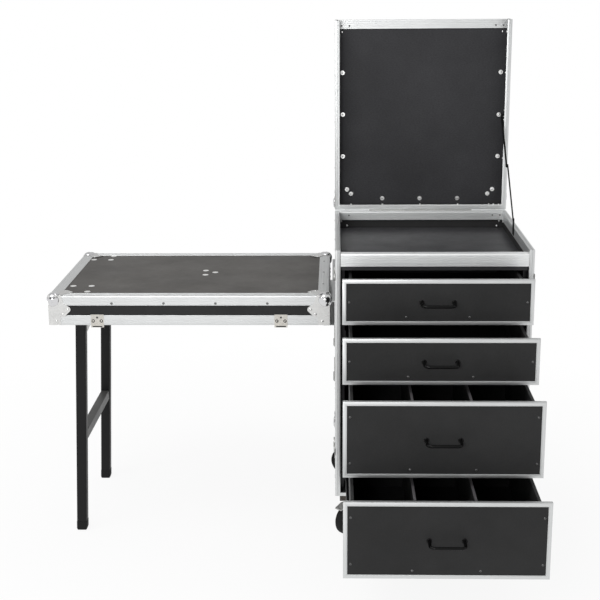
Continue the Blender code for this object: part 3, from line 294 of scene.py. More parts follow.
def settle(piece: bpy.types.Object, body: str, stands_for: Sequence[str],
           sharp: float) -> None:
    """Shade a piece and hand it to the frame.

    Args:
        piece: The piece, in the frame's coordinates.
        body: The body that it moves with.
        stands_for: The nodes of the frame that it replaces.
        sharp: Angle in degrees from which an edge stays sharp.
    """
    piece.data.shade_smooth()
    piece.data.set_sharp_from_angle(angle=math.radians(sharp))
    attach(piece, body)
    if stands_for:
        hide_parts(*stands_for)
    LOG.info("%s: %d faces", piece.name, len(piece.data.polygons))


class Workpiece:
    """A mesh in the making, in the case's own coordinates."""

    origin: ClassVar[Vector] = Vector((0.0, 0.0, 0.0))

    def __init__(self) -> None:
        """Start with an empty mesh."""
        self.mesh = bmesh.new()

    def loft(self, loops: Sequence[Sequence[Point]], closed: bool = False,
             paints: Sequence[int] = (0,)) -> None:
        """Skin a row of equal loops.

        Args:
            loops: The loops, each with the same number of points.
            closed: Join the last loop to the first, in place of capping both ends.
            paints: Finish number of each span; the last one holds for the spans after it.
        """
        rows = [[self.mesh.verts.new(point) for point in loop] for loop in loops]
        pairs = list(zip(rows, rows[1:]))
        if closed:
            pairs.append((rows[-1], rows[0]))
        for number, (lower, upper) in enumerate(pairs):
            paint = paints[min(number, len(paints) - 1)]
            for i in range(len(lower)):
                j = (i + 1) % len(lower)
                face = self.mesh.faces.new((lower[i], lower[j], upper[j], upper[i]))
                face.material_index = paint
        if not closed:
            self.mesh.faces.new(rows[0]).material_index = paints[0]
            self.mesh.faces.new(rows[-1]).material_index = paints[-1]

    def box(self, low: Point, high: Point, paint: int = 0) -> None:
        """Add a box between two opposite corners, given in any order."""
        xs, ys, zs = (sorted(pair) for pair in zip(low, high))
        self.loft([[(x, ys[0], zs[0]), (x, ys[1], zs[0]), (x, ys[1], zs[1]), (x, ys[0], zs[1])]
                   for x in xs], paints=(paint,))

    def prism(self, axis: str, outline: Section, start: float, end: float, paint: int = 0) -> None:
        """Extrude an outline along an axis; its points hold the other two coordinates in order."""
        index = "XYZ".index(axis)
        loops = [[pair[:index] + (along,) + pair[index:] for pair in outline] for along in (start, end)]
        self.loft(loops, paints=(paint,))

    def turned(self, centre: Point, axis: Point, outline: Section, sides: int = 24,
               paint: int = 0) -> None:
        """Turn a closed outline of (radius, distance along the axis) about an axis."""
        direction, around = spokes(axis, sides)
        self.loft([[Vector(centre) + spoke * radius + direction * along for radius, along in outline]
                   for spoke in around], closed=True, paints=(paint,))

    def disc(self, centre: Point, axis: Point, radius: float, height: float, sides: int = 20,
             paint: int = 0, chamfer: float = 0.0) -> None:
        """Add a round disc or rod that starts at a centre and rises along an axis."""
        direction, around = spokes(axis, sides)
        levels = [(radius, 0.0), (radius, height - chamfer), (radius - chamfer, height)]
        self.loft([[Vector(centre) + direction * along + spoke * size for spoke in around]
                   for size, along in levels[:3 if chamfer else 2]], paints=(paint,))

    def ball(self, centre: Point, radius: float) -> list[bmesh.types.BMVert]:
        """Add a ball and return its vertices."""
        return bmesh.ops.create_uvsphere(self.mesh, u_segments=32, v_segments=20, radius=radius,
                                         matrix=Matrix.Translation(centre))["verts"]

    def pierced_board(self, side: Side, outer: float, inner: float, span_y: Pair, span_z: Pair,
                      holes: Sequence[tuple[float, float, float, float]]) -> None:
        """Add a board that stands across X, with rectangular holes.

        Args:
            side: The side of the case.
            outer: Half width of its outer face.
            inner: Half width of its inner face.
            span_y: Its ends in Y.
            span_z: Its ends in Z.
            holes: Each hole as (low y, high y, low z, high z).
        """
        ys = sorted({*span_y, *(hole[i] for hole in holes for i in (0, 1))})
        zs = sorted({*span_z, *(hole[i] for hole in holes for i in (2, 3))})
        grid = {}
        for x in (outer, inner):
            for y in ys:
                for z in zs:
                    grid[x, y, z] = self.mesh.verts.new((side.value * x, y, z))

        def solid(i: int, j: int) -> bool:
            """Whether a cell of the grid is board."""
            if not (0 <= i < len(ys) - 1 and 0 <= j < len(zs) - 1):
                return False
            y, z = (ys[i] + ys[i + 1]) / 2, (zs[j] + zs[j + 1]) / 2
            return not any(a < y < b and c < z < d for a, b, c, d in holes)

        for i, (y0, y1) in enumerate(zip(ys, ys[1:])):
            for j, (z0, z1) in enumerate(zip(zs, zs[1:])):
                if not solid(i, j):
                    continue
                for x in (outer, inner):
                    self.mesh.faces.new((grid[x, y0, z0], grid[x, y1, z0], grid[x, y1, z1],
                                         grid[x, y0, z1]))
                for di, dj, a, b in ((-1, 0, (y0, z0), (y0, z1)), (1, 0, (y1, z0), (y1, z1)),
                                     (0, -1, (y0, z0), (y1, z0)), (0, 1, (y0, z1), (y1, z1))):
                    if not solid(i + di, j + dj):
                        self.mesh.faces.new((grid[(outer, *a)], grid[(outer, *b)],
                                             grid[(inner, *b)], grid[(inner, *a)]))
        for vertex in [vertex for vertex in grid.values() if not vertex.link_faces]:
            self.mesh.verts.remove(vertex)

    def turn(self, pivot: Point, angle: float) -> None:
        """Turn everything made so far about an upright axis."""
        bmesh.ops.rotate(self.mesh, verts=self.mesh.verts, cent=pivot,
                         matrix=Matrix.Rotation(angle, 3, "Z"))

    def finish(self, name: str, body: str, finishes: Sequence["Finish"],
               stands_for: Sequence[str] = (), bevel: float = 0.0) -> None:
        """Turn the mesh into a piece of the case.

        Args:
            name: The piece's name.
            body: The body that it moves with.
            finishes: Its finishes, in the order of their numbers on the faces.
            stands_for: The nodes of the frame that it replaces.
            bevel: Width of the rounding of its sharp edges; 0 leaves them sharp.
        """
        bmesh.ops.translate(self.mesh, verts=self.mesh.verts, vec=self.origin)
        bmesh.ops.recalc_face_normals(self.mesh, faces=self.mesh.faces)
        data = bpy.data.meshes.new(name)
        self.mesh.to_mesh(data)
        self.mesh.free()
        piece = new_object(name, data)
        for finish in finishes:
            data.materials.append(finish.material())
        if bevel:
            modifier = piece.modifiers.new("rounded_edges", "BEVEL")
            modifier.width = bevel
            modifier.segments = 2
            modifier.limit_method = "ANGLE"
            modifier.angle_limit = math.radians(40)
            modifier.harden_normals = True
        settle(piece, body, stands_for, 35)


# Node trees


class TreeKit:
    """Short calls for building a node tree."""

    def __init__(self, tree: bpy.types.NodeTree) -> None:
        """Take the tree that the calls add to."""
        self.tree = tree

    def feed(self, node: bpy.types.Node, **inputs: Any) -> bpy.types.Node:
        """Set or link a node's inputs.

        Args:
            node: The node.
            **inputs: Values or output sockets by input name, spaces as underscores, or by number
                after an underscore.

        Returns:
            The node.
        """
        for name, value in inputs.items():
            socket = node.inputs[int(name[1:]) if name[0] == "_" else name.replace("_", " ")]
            if isinstance(value, Socket):
                self.tree.links.new(value, socket)
            else:
                socket.default_value = value
        return node

    def node(self, kind: str, settings: dict[str, Any] | None = None, **inputs: Any) -> bpy.types.Node:
        """Add a node with its settings and its inputs, as feed takes them."""
        node = self.tree.nodes.new(kind)
        for name, value in (settings or {}).items():
            setattr(node, name, value)
        return self.feed(node, **inputs)

    def first(self, kind: str, settings: dict[str, Any] | None = None, **inputs: Any) -> Socket:
        """Add a node as above and return its first output."""
        return self.node(kind, settings, **inputs).outputs[0]

    def math(self, operation: str, first: Any, second: Any = 0.0) -> Socket:
        """Add a math node and return its result."""
        return self.first("ShaderNodeMath", {"operation": operation}, _0=first, _1=second)

    def between(self, value: Any, low: float, high: float, to_low: float = 0.0,
                to_high: float = 1.0) -> Socket:
        """Map a range of a value to another range, clamped."""
        return self.first("ShaderNodeMapRange", Value=value, From_Min=low, From_Max=high,
                          To_Min=to_low, To_Max=to_high)

    def blend(self, share: Any, first: Any, second: Any) -> Socket:
        """Mix two colours by a share."""
        return self.node("ShaderNodeMix", {"data_type": "RGBA"}, _0=share, _6=first, _7=second).outputs[2]

    def noise(self, vector: Any, scale: Any, detail: float = 2.0, roughness: float = 0.5) -> Socket:
        """Add a noise texture and return its value."""
        return self.node("ShaderNodeTexNoise", Vector=vector, Scale=scale, Detail=detail,
                         Roughness=roughness).outputs["Fac"]

    def stretch(self, vector: Any, factors: Any) -> Socket:
        """Multiply a vector by factors."""
        return self.first("ShaderNodeVectorMath", {"operation": "MULTIPLY"}, _0=vector, _1=factors)

    def bump(self, strength: float, distance: float, height: Any) -> Socket:
        """Turn a height into a normal."""
        return self.first("ShaderNodeBump", Strength=strength, Distance=distance, Height=height)

    def group(self, tree: bpy.types.NodeTree, **inputs: Any) -> Any:
        """Add a node group and return its outputs."""
        return self.node("ShaderNodeGroup", {"node_tree": tree}, **inputs).outputs


def node_group(name: str, kind: str, inputs: Sequence[tuple[str, str, Any]],
               outputs: Sequence[tuple[str, str]],
               build: Callable[[TreeKit, Any], dict[str, Any]]) -> bpy.types.NodeTree:
    """Return a node group, building it once.

    Args:
        name: The group's name.
        kind: The kind of its tree.
        inputs: Its inputs as (name, socket type, default).
        outputs: Its outputs as (name, socket type).
        build: Makes its nodes from its inputs and returns what feeds its outputs, by name.

    Returns:
        The node group.
    """
    tree = bpy.data.node_groups.get(name)
    if tree is None:
        tree = bpy.data.node_groups.new(name, kind)
        for label, sort, default in inputs:
            socket = tree.interface.new_socket(label, in_out="INPUT", socket_type=f"NodeSocket{sort}")
            if default is not None:
                socket.default_value = default
        for label, sort in outputs:
            tree.interface.new_socket(label, in_out="OUTPUT", socket_type=f"NodeSocket{sort}")
        kit = TreeKit(tree)
        kit.feed(tree.nodes.new("NodeGroupOutput"),
                 **build(kit, tree.nodes.new("NodeGroupInput").outputs))
    return tree


def handling_marks() -> bpy.types.NodeTree:
    """Group that puts out soft smudges and fine scuffs, each as a mask."""
    def build(shader: TreeKit, given: Any) -> dict[str, Any]:
        """Make the nodes of the group."""
        place = given["Vector"]
        clouds = shader.noise(place, given["Smudge Scale"], 4.0, 0.6)
        lines = shader.noise(shader.stretch(place, (1.0, 9.0, 3.0)), given["Scuff Scale"], 2.0, 0.7)
        patches = shader.between(shader.noise(place, 9.0, 3.0), 0.55, 0.70)
        scuffs = shader.math("MULTIPLY", shader.between(lines, 0.66, 0.74), patches)
        return {"Smudges": shader.between(clouds, 0.40, 0.68), "Scuffs": scuffs}
    return node_group("handling_marks", "ShaderNodeTree",
                      [("Vector", "Vector", None), ("Smudge Scale", "Float", 7.0),
                       ("Scuff Scale", "Float", 60.0)],
                      [("Smudges", "Float"), ("Scuffs", "Float")], build)


def drawn_lines() -> bpy.types.NodeTree:
    """Group that puts out the fine lines that a die leaves along a drawn profile."""
    def build(shader: TreeKit, given: Any) -> dict[str, Any]:
        """Make the nodes of the group."""
        place = shader.stretch(given["Vector"], given["Stretch"])
        coarse = shader.math("MULTIPLY", shader.noise(place, 900.0, 2.0), 0.6)
        fine = shader.math("MULTIPLY", shader.noise(place, 3600.0, 1.0), 0.4)
        return {"Height": shader.math("ADD", coarse, fine)}
    return node_group("drawn_lines", "ShaderNodeTree",
                      [("Vector", "Vector", None), ("Stretch", "Vector", (1.0, 1.0, 1.0))],
                      [("Height", "Float")], build)


# Finishes


@dataclass(frozen=True)
class Finish:
    """A finish of the case; each kind builds its own shader."""

    name: str
    colour: tuple[float, float, float]
    roughness: float = 0.5
    metallic: float = 0.0
    specular: float = 0.5
    slot: Slot = field(default=Slot.BLACK, kw_only=True)

    def material(self) -> bpy.types.Material:
        """Return the finish's material, building it once."""
        found = bpy.data.materials.get(self.name)
        if found is not None:
            return found
        material = bpy.data.materials.new(self.name)
        material.use_nodes = True
        tree = material.node_tree
        shader = TreeKit(tree)
        surface = shader.feed(tree.nodes["Principled BSDF"], Base_Color=(*self.colour, 1.0),
                              Roughness=self.roughness, Metallic=self.metallic,
                              Specular_IOR_Level=self.specular)
        self.dress(shader, surface, shader.node("ShaderNodeTexCoord").outputs["Object"])
        return material

    def dress(self, shader: TreeKit, surface: bpy.types.Node, place: Any) -> None:
        """Add the finish's detail to its shader."""

    def shade(self, factor: float) -> tuple[float, float, float, float]:
        """The finish's colour made lighter or darker."""
        return (*(min(1.0, channel * factor) for channel in self.colour), 1.0)


@dataclass(frozen=True)
class Laminate(Finish):
    """Phenolic laminate with a fine pressed texture."""

    slot: Slot = field(default=Slot.LAMINATE, kw_only=True)
    texture_scale: float = 620.0
    texture_depth: float = 0.12
    grain_tone: float = 0.08
    grain_stretch: tuple[float, float, float] = (1.0, 1.0, 1.0)

    def dress(self, shader: TreeKit, surface: bpy.types.Node, place: Any) -> None:
        """Add the pressed texture, its grain, faint clouds and handling marks."""
        marks = shader.group(handling_marks(), Vector=place)
        clouds = shader.noise(place, 5.0, 4.0, 0.6)
        tone = shader.blend(shader.between(clouds, 0.35, 0.65), self.shade(0.88), self.shade(1.12))
        speckle = shader.between(shader.noise(shader.stretch(place, self.grain_stretch), 330.0, 3.0, 0.7),
                                 0.35, 0.65, 1.0 - self.grain_tone, 1.0 + self.grain_tone)
        tone = shader.first("ShaderNodeVectorMath", {"operation": "SCALE"}, _0=tone, Scale=speckle)
        worn = shader.blend(shader.math("MULTIPLY", marks["Scuffs"], 0.30), tone, self.shade(1.9))
        rough = shader.between(marks["Smudges"], 0.0, 1.0, self.roughness + 0.05, self.roughness - 0.06)
        cells = shader.node("ShaderNodeTexVoronoi", {"feature": "DISTANCE_TO_EDGE"}, Vector=place,
                            Scale=self.texture_scale, Randomness=0.35).outputs["Distance"]
        height = shader.math("ADD", shader.between(cells, 0.0, 0.3),
                             shader.noise(place, self.texture_scale * 2.4, 2.0))
        shader.feed(surface, Base_Color=worn, Roughness=rough,
                    Normal=shader.bump(self.texture_depth, 0.0004, height))


@dataclass(frozen=True)
class DrawnAluminium(Finish):
    """Mill-finished aluminium profile with the lines of its die."""

    slot: Slot = field(default=Slot.ALUMINIUM, kw_only=True)
    grain: Grain = Grain.ALONG_X

    def dress(self, shader: TreeKit, surface: bpy.types.Node, place: Any) -> None:
        """Add the drawn lines, smudges and scuffs."""
        marks = shader.group(handling_marks(), Vector=place, Smudge_Scale=11.0)
        lines = shader.group(drawn_lines(), Vector=place, Stretch=self.grain.value)["Height"]
        tone = shader.blend(shader.between(lines, 0.3, 0.7), self.shade(0.94), self.shade(1.05))
        worn = shader.blend(shader.math("MULTIPLY", marks["Smudges"], 0.25), tone, self.shade(0.86))
        rough = shader.between(lines, 0.3, 0.7, self.roughness - 0.05, self.roughness + 0.05)
        rough = shader.math("ADD", rough, shader.math("MULTIPLY", marks["Scuffs"], 0.15))
        shader.feed(surface, Base_Color=worn, Roughness=rough, Normal=shader.bump(0.10, 0.0002, lines))


@dataclass(frozen=True)
class PlatedSteel(Finish):
    """Zinc or chrome plated steel."""

    slot: Slot = field(default=Slot.STEEL, kw_only=True)
    spangle: float = 0.08

    def dress(self, shader: TreeKit, surface: bpy.types.Node, place: Any) -> None:
        """Add the crystal pattern of the plating and finger smudges."""
        marks = shader.group(handling_marks(), Vector=place, Smudge_Scale=24.0)
        cells = shader.node("ShaderNodeTexVoronoi", Vector=place, Scale=260.0)
        grey = shader.first("ShaderNodeSeparateColor", Color=cells.outputs["Color"])
        tone = shader.blend(grey, self.shade(1.0 - self.spangle), self.shade(1.0 + self.spangle))
        rough = shader.between(grey, 0.0, 1.0, self.roughness * 0.85, self.roughness * 1.1)
        smudged = shader.math("MULTIPLY", marks["Smudges"], 0.3 * self.roughness)
        shader.feed(surface, Base_Color=tone, Roughness=shader.math("ADD", smudged, rough))


@dataclass(frozen=True)
class PowderCoat(Finish):
    """Black powder coat or moulded black plastic, slightly pebbled."""

    pebble_scale: float = 900.0
    pebble_depth: float = 0.15

    def dress(self, shader: TreeKit, surface: bpy.types.Node, place: Any) -> None:
        """Add the pebbled skin and a worn tint."""
        marks = shader.group(handling_marks(), Vector=place)
        tone = shader.blend(shader.math("MULTIPLY", marks["Scuffs"], 0.5), self.shade(1.0),
                            self.shade(2.6))
        rough = shader.between(marks["Smudges"], 0.0, 1.0, self.roughness + 0.04, self.roughness - 0.05)
        pebbles = shader.noise(place, self.pebble_scale, 2.0)
        shader.feed(surface, Base_Color=tone, Roughness=rough,
                    Normal=shader.bump(self.pebble_depth, 0.0002, pebbles))


@dataclass(frozen=True)
class Plywood(Finish):
    """Sealed plywood whose plies show at its edges."""

    slot: Slot = field(default=Slot.PLYWOOD, kw_only=True)
    ply: float = 0.0015

    def dress(self, shader: TreeKit, surface: bpy.types.Node, place: Any) -> None:
        """Add the plies as level bands and the grain across them."""
        level = shader.node("ShaderNodeSeparateXYZ", Vector=place).outputs["Z"]
        band = shader.math("SINE", shader.math("MULTIPLY", level, math.pi / self.ply))
        grain = shader.noise(shader.stretch(place, (1.0, 0.08, 1.0)), 160.0, 4.0, 0.6)
        share = shader.math("ADD", shader.between(band, -0.6, 0.6, 0.0, 0.5),
                            shader.math("MULTIPLY", grain, 0.5))
        shader.feed(surface, Base_Color=shader.blend(share, self.shade(0.55), self.shade(1.35)),
                    Normal=shader.bump(0.2, 0.0003, grain))


class Finishes:
    """Every finish of the case."""

    LAMINATE = Laminate("laminate_black", (0.0240, 0.0240, 0.0243), 0.50, 0.0, 0.14)
    LID_LINING = Laminate("laminate_lid_inside", (0.033, 0.033, 0.036), 0.55, 0.0, 0.18,
                          620.0, 0.12, 0.16, (0.45, 1.0, 1.0))
    # Table top: black laminate whose base is lifted to a warm grey; the lift is a painted sheen of the pale
    # surroundings at a glancing angle.
    TABLE_TOP = Laminate("laminate_table_top", (0.075, 0.071, 0.066), 0.55, 0.0, 0.30,
                         620.0, 0.12, 0.14, (0.12, 1.0, 1.0), slot=Slot.TABLE)
    TRAY = Laminate("laminate_tray", (0.045, 0.045, 0.048), 0.38, 0.0, 0.35, 620.0, 0.12, 0.12,
                    (0.2, 1.0, 1.0))
    # Castor board plywood with its real plies and grain, its tone darkened near black: painted shade under
    # the case.
    PLYWOOD = Plywood("plywood_sealed", (0.045, 0.036, 0.028), 0.6)
    DIVIDER_EDGE = PowderCoat("divider_edge_band", (0.085, 0.080, 0.085), 0.45)
    ALUMINIUM_X, ALUMINIUM_Y, ALUMINIUM_Z = (
        DrawnAluminium(f"aluminium_drawn_{way}", (0.68, 0.69, 0.69), 0.45, 1.0, 0.5, grain)
        for way, grain in zip(("across", "back", "up"), Grain))
    # A lightened copy of the drawn aluminium: painted light, for faces that catch more light than the other
    # profiles.
    ALUMINIUM_BRIGHT = DrawnAluminium("aluminium_bright", (0.90, 0.91, 0.91), 0.48, 1.0, 0.5,
                                      Grain.ALONG_X)
    CHROME = PlatedSteel("chrome_plate", (0.66, 0.66, 0.67), 0.05, 1.0, 0.5, 0.01, slot=Slot.ALUMINIUM)
    CORNER_PLATE = PlatedSteel("corner_plate_zinc", (0.66, 0.66, 0.65), 0.30, 1.0, 0.5, 0.05,
                               slot=Slot.ALUMINIUM)
    ZINC = PlatedSteel("zinc_plate", (0.50, 0.50, 0.49), 0.34, 1.0)
    # Slides: plated steel darkened to near black, painted shade for the dim inside of the case.
    SLIDE = PlatedSteel("slide_black_zinc", (0.030, 0.030, 0.031), 0.38, 1.0)
    RIVET = PlatedSteel("rivet_nickel", (0.72, 0.72, 0.71), 0.26, 1.0, 0.5, 0.03)
    # A darkened copy of the rivet steel: painted shade, standing for the shadow on and around small heads.
    SCREW_DARK = PlatedSteel("screw_dark", (0.17, 0.17, 0.17), 0.35, 1.0, 0.5, 0.05)
    # A lightened copy of the rivet steel: painted highlight, standing for heads that catch the light.
    SCREW_BRIGHT = PlatedSteel("screw_bright", (0.92, 0.92, 0.91), 0.30, 1.0, 0.5, 0.04)
    KEEPER = PlatedSteel("keeper_zinc", (0.56, 0.54, 0.50), 0.38, 1.0, 0.5, 0.10)
    RECESS = PowderCoat("recess_shadow", (0.012, 0.012, 0.012), 0.7)
    BLACK = PowderCoat("black_powder_coat", (0.0075, 0.0075, 0.0078), 0.45, 0.0, 0.20)
    HANDLE = PowderCoat("handle_black_gloss", (0.0022, 0.0022, 0.0022), 0.24, 0.0, 0.16, 900.0, 0.03)
    STAY = PowderCoat("stay_black", (0.0025, 0.0025, 0.0025), 0.40, 0.0, 0.10)
    # Crossbar: a lighter grey than the legs' black.
    BAR_GREY = PowderCoat("crossbar_worn_black", (0.075, 0.075, 0.073), 0.42, 0.0, 0.30)
    PLASTIC = PowderCoat("black_moulding", (0.014, 0.014, 0.014), 0.50, 0.0, 0.4, 600.0, 0.2)
    RUBBER = PowderCoat("rubber_black", (0.010, 0.010, 0.010), 0.75, 0.0, 0.2, 420.0, 0.4,
                        slot=Slot.RUBBER)


PROFILE_BY_SPAN = (Finishes.ALUMINIUM_X, Finishes.ALUMINIUM_Y, Finishes.ALUMINIUM_Z)


# Geometry Nodes


def grow(name: str, mesh: bpy.types.Mesh, tree: bpy.types.NodeTree,
         values: dict[str, Any]) -> bpy.types.Object:
    """Run a mesh through a Geometry Nodes tree.

    Args:
        name: The name of the result.
        mesh: The points or lines that it grows from.
        tree: The tree.
        values: Values of the tree's named inputs, set by their identifiers.

    Returns:
        The result as an object with a plain mesh.
    """
    source = new_object(name + "_source", mesh)
    modifier = source.modifiers.new("nodes", "NODES")
    modifier.node_group = tree
    for item in tree.interface.items_tree:
        if item.item_type == "SOCKET" and item.in_out == "INPUT" and item.name in values:
            modifier[item.identifier] = values[item.name]
    graph = bpy.context.evaluated_depsgraph_get()
    data = bpy.data.meshes.new_from_object(source.evaluated_get(graph))
    data.name = name
    bpy.data.objects.remove(source, do_unlink=True)
    return new_object(name, data)


class Screw(Enum):
    """Kinds of fastener: head radius, head height, washer radius and cross recess."""

    RIVET = (0.0040, 0.0013, 0.0, 0.0)
    WASHER_RIVET = (0.0034, 0.0016, 0.0075, 0.0)
    FLAT_BOLT = (0.0100, 0.0014, 0.0, 0.0)
    CROSS_SCREW = (0.0034, 0.0012, 0.0, 1.0)
    CASTOR_BOLT = (0.0065, 0.0040, 0.0090, 0.0)
    SMALL_SCREW = (0.0030, 0.0012, 0.0, 0.0)
    ROUND_NUT = (0.0036, 0.0038, 0.0, 0.0)


def fastener_tree() -> bpy.types.NodeTree:
    """Geometry Nodes tree that sets rivets and screws on the points of a mesh."""
    def build(kit: TreeKit, given: Any) -> dict[str, Any]:
        """Make the nodes of the tree."""
        def named(name: str, kind: str = "FLOAT") -> Any:
            """Read an attribute."""
            return kit.node("GeometryNodeInputNamedAttribute", {"data_type": kind},
                            Name=name).outputs["Attribute"]

        def combined(x: Any, y: Any, z: Any) -> Any:
            """Join three values to a vector."""
            return kit.first("ShaderNodeCombineXYZ", X=x, Y=y, Z=z)

        def above(value: Any, limit: float) -> Any:
            """Whether a value is greater than a limit."""
            return kit.first("FunctionNodeCompare", {"data_type": "FLOAT", "operation": "GREATER_THAN"},
                             _0=value, _1=limit)

        def joined(parts: Iterable[Any]) -> Any:
            """Join geometries."""
            join = kit.node("GeometryNodeJoinGeometry")
            for part in parts:
                kit.tree.links.new(part, join.inputs[0])
            return join.outputs[0]

        radius, height, washer = (kit.math("MULTIPLY", named(name), given["Size Factor"])
                                  for name in ("head_radius", "head_height", "washer_radius"))
        turned = kit.first("FunctionNodeAlignRotationToVector", {"axis": "Z"},
                           Vector=named("facing", "FLOAT_VECTOR"))
        spin = kit.node("FunctionNodeRandomValue", {"data_type": "FLOAT"}, Seed=given["Seed"], _3=6.28)
        twist = kit.first("FunctionNodeEulerToRotation", Euler=combined(0.0, 0.0, spin.outputs[1]))
        rotation = kit.first("FunctionNodeRotateRotation", {"rotation_space": "LOCAL"},
                             Rotation=turned, Rotate_By=twist)

        def instances(shape: Any, scale: Any, selection: Any) -> Any:
            """Set one shape on the chosen points."""
            return kit.first("GeometryNodeInstanceOnPoints", Points=given["Geometry"],
                             Instance=shape, Rotation=rotation, Scale=scale, Selection=selection)

        dome = kit.node("GeometryNodeMeshUVSphere", Segments=16, Rings=8, Radius=1.0)
        ring = kit.node("GeometryNodeMeshCylinder", Vertices=20, Radius=1.0, Depth=1.0)
        bars = [kit.node("GeometryNodeMeshCube", Size=size).outputs["Mesh"]
                for size in ((1.25, 0.26, 0.5), (0.26, 1.25, 0.5))]
        cross = joined([kit.first("GeometryNodeTransform", Translation=(0.0, 0.0, 0.77), Geometry=bar)
                        for bar in bars])
        recess = kit.first("GeometryNodeStoreNamedAttribute", {"data_type": "BOOLEAN", "domain": "FACE"},
                           Geometry=cross, Name="recess", Value=True)
        size = combined(radius, radius, height)
        everything = joined([
            instances(dome.outputs["Mesh"], size, True),
            instances(ring.outputs["Mesh"], combined(washer, washer, given["Washer Thickness"]),
                      above(washer, 0.0)),
            instances(recess, size, above(named("cross"), 0.5))])
        real = kit.first("GeometryNodeRealizeInstances", Geometry=everything)
        painted = kit.first("GeometryNodeSetMaterial", Geometry=real, Material=given["Head Material"])
        return {"Geometry": kit.first("GeometryNodeSetMaterial", Geometry=painted,
                                      Selection=named("recess", "BOOLEAN"),
                                      Material=given["Recess Material"])}
    return node_group("set_fasteners", "GeometryNodeTree",
                      [("Geometry", "Geometry", None), ("Size Factor", "Float", 1.0),
                       ("Washer Thickness", "Float", 0.0007), ("Seed", "Int", 7),
                       ("Head Material", "Material", None), ("Recess Material", "Material", None)],
                      [("Geometry", "Geometry")], build)


@dataclass
class Fasteners:
    """Rivets and screws of one body, set by one tree."""

    body: str
    head: Finish = Finishes.RIVET
    name: str = ""
    places: list[tuple[Vector, Vector, Screw]] = field(default_factory=list)

    def add(self, place: Point, facing: Point, kind: Screw = Screw.RIVET) -> None:
        """Add one fastener whose head faces a direction."""
        self.places.append((Vector(place), Vector(facing).normalized(), kind))

    def row(self, start: Point, end: Point, count: int, facing: Point) -> None:
        """Add a row of rivets at equal steps, both ends included."""
        for k in range(count):
            self.add(Vector(start).lerp(Vector(end), k / (count - 1)), facing)

    def several(self, places: Iterable[Point], facing: Point, kind: Screw = Screw.RIVET) -> None:
        """Add fasteners that all face one way."""
        for place in places:
            self.add(place, facing, kind)

    def make(self) -> None:
        """Set the fasteners as one piece."""
        name = f"fasteners_{self.name or self.body}"
        points = bpy.data.meshes.new(name + "_points")
        points.from_pydata([place + Workpiece.origin for place, _, _ in self.places], [], [])
        facing = points.attributes.new("facing", "FLOAT_VECTOR", "POINT")
        facing.data.foreach_set("vector", [value for _, out, _ in self.places for value in out])
        for index, label in enumerate(("head_radius", "head_height", "washer_radius", "cross")):
            layer = points.attributes.new(label, "FLOAT", "POINT")
            layer.data.foreach_set("value", [kind.value[index] for _, _, kind in self.places])
        piece = grow(name, points, fastener_tree(), {"Head Material": self.head.material(),
                                                     "Recess Material": Finishes.RECESS.material()})
        settle(piece, self.body, (), 40)


def bar_tree() -> bpy.types.NodeTree:
    """Geometry Nodes tree that bends a round bar along the corners of a line."""
    def build(kit: TreeKit, given: Any) -> dict[str, Any]:
        """Make the nodes of the tree."""
        line = kit.first("GeometryNodeMeshToCurve", Mesh=given["Geometry"])
        bent = kit.first("GeometryNodeFilletCurve", {"mode": "POLY"}, Curve=line, Count=8,
                         Radius=given["Bend Radius"])
        circle = kit.first("GeometryNodeCurvePrimitiveCircle", Resolution=16, Radius=given["Bar Radius"])
        swept = kit.first("GeometryNodeCurveToMesh", Curve=bent, Profile_Curve=circle, Fill_Caps=True)
        real = kit.first("GeometryNodeRealizeInstances", Geometry=swept)
        return {"Geometry": kit.first("GeometryNodeSetMaterial", Geometry=real,
                                      Material=given["Material"])}
    return node_group("bent_bar", "GeometryNodeTree",
                      [("Geometry", "Geometry", None), ("Bar Radius", "Float", 0.004),
                       ("Bend Radius", "Float", 0.012), ("Material", "Material", None)],
                      [("Geometry", "Geometry")], build)


def bent_bar(name: str, body: str, corners: Sequence[Point], radius: float, bend: float,
             finish: Finish, node: str) -> None:
    """Make a bent round bar.

    Args:
        name: The piece's name.
        body: The body that it moves with.
        corners: The corners of its centre line, in the case's coordinates.
        radius: Radius of the bar.
        bend: Radius of its bends.
        finish: Its finish.
        node: The node of the frame that it replaces.
    """
    points = bpy.data.meshes.new(name + "_line")
    points.from_pydata([Vector(corner) + Workpiece.origin for corner in corners],
                       [(k, k + 1) for k in range(len(corners) - 1)], [])
    piece = grow(name, points, bar_tree(), {"Bar Radius": radius, "Bend Radius": bend,
                                            "Material": finish.material()})
    settle(piece, body, (node,), 50)


def node_box(node: str) -> tuple[Vector, Vector]:
    """The low and high corner of a node of the frame, in the case's coordinates."""
    low, high = (Vector(corner) - Workpiece.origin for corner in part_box(node))
    return low, high


# Ball corners


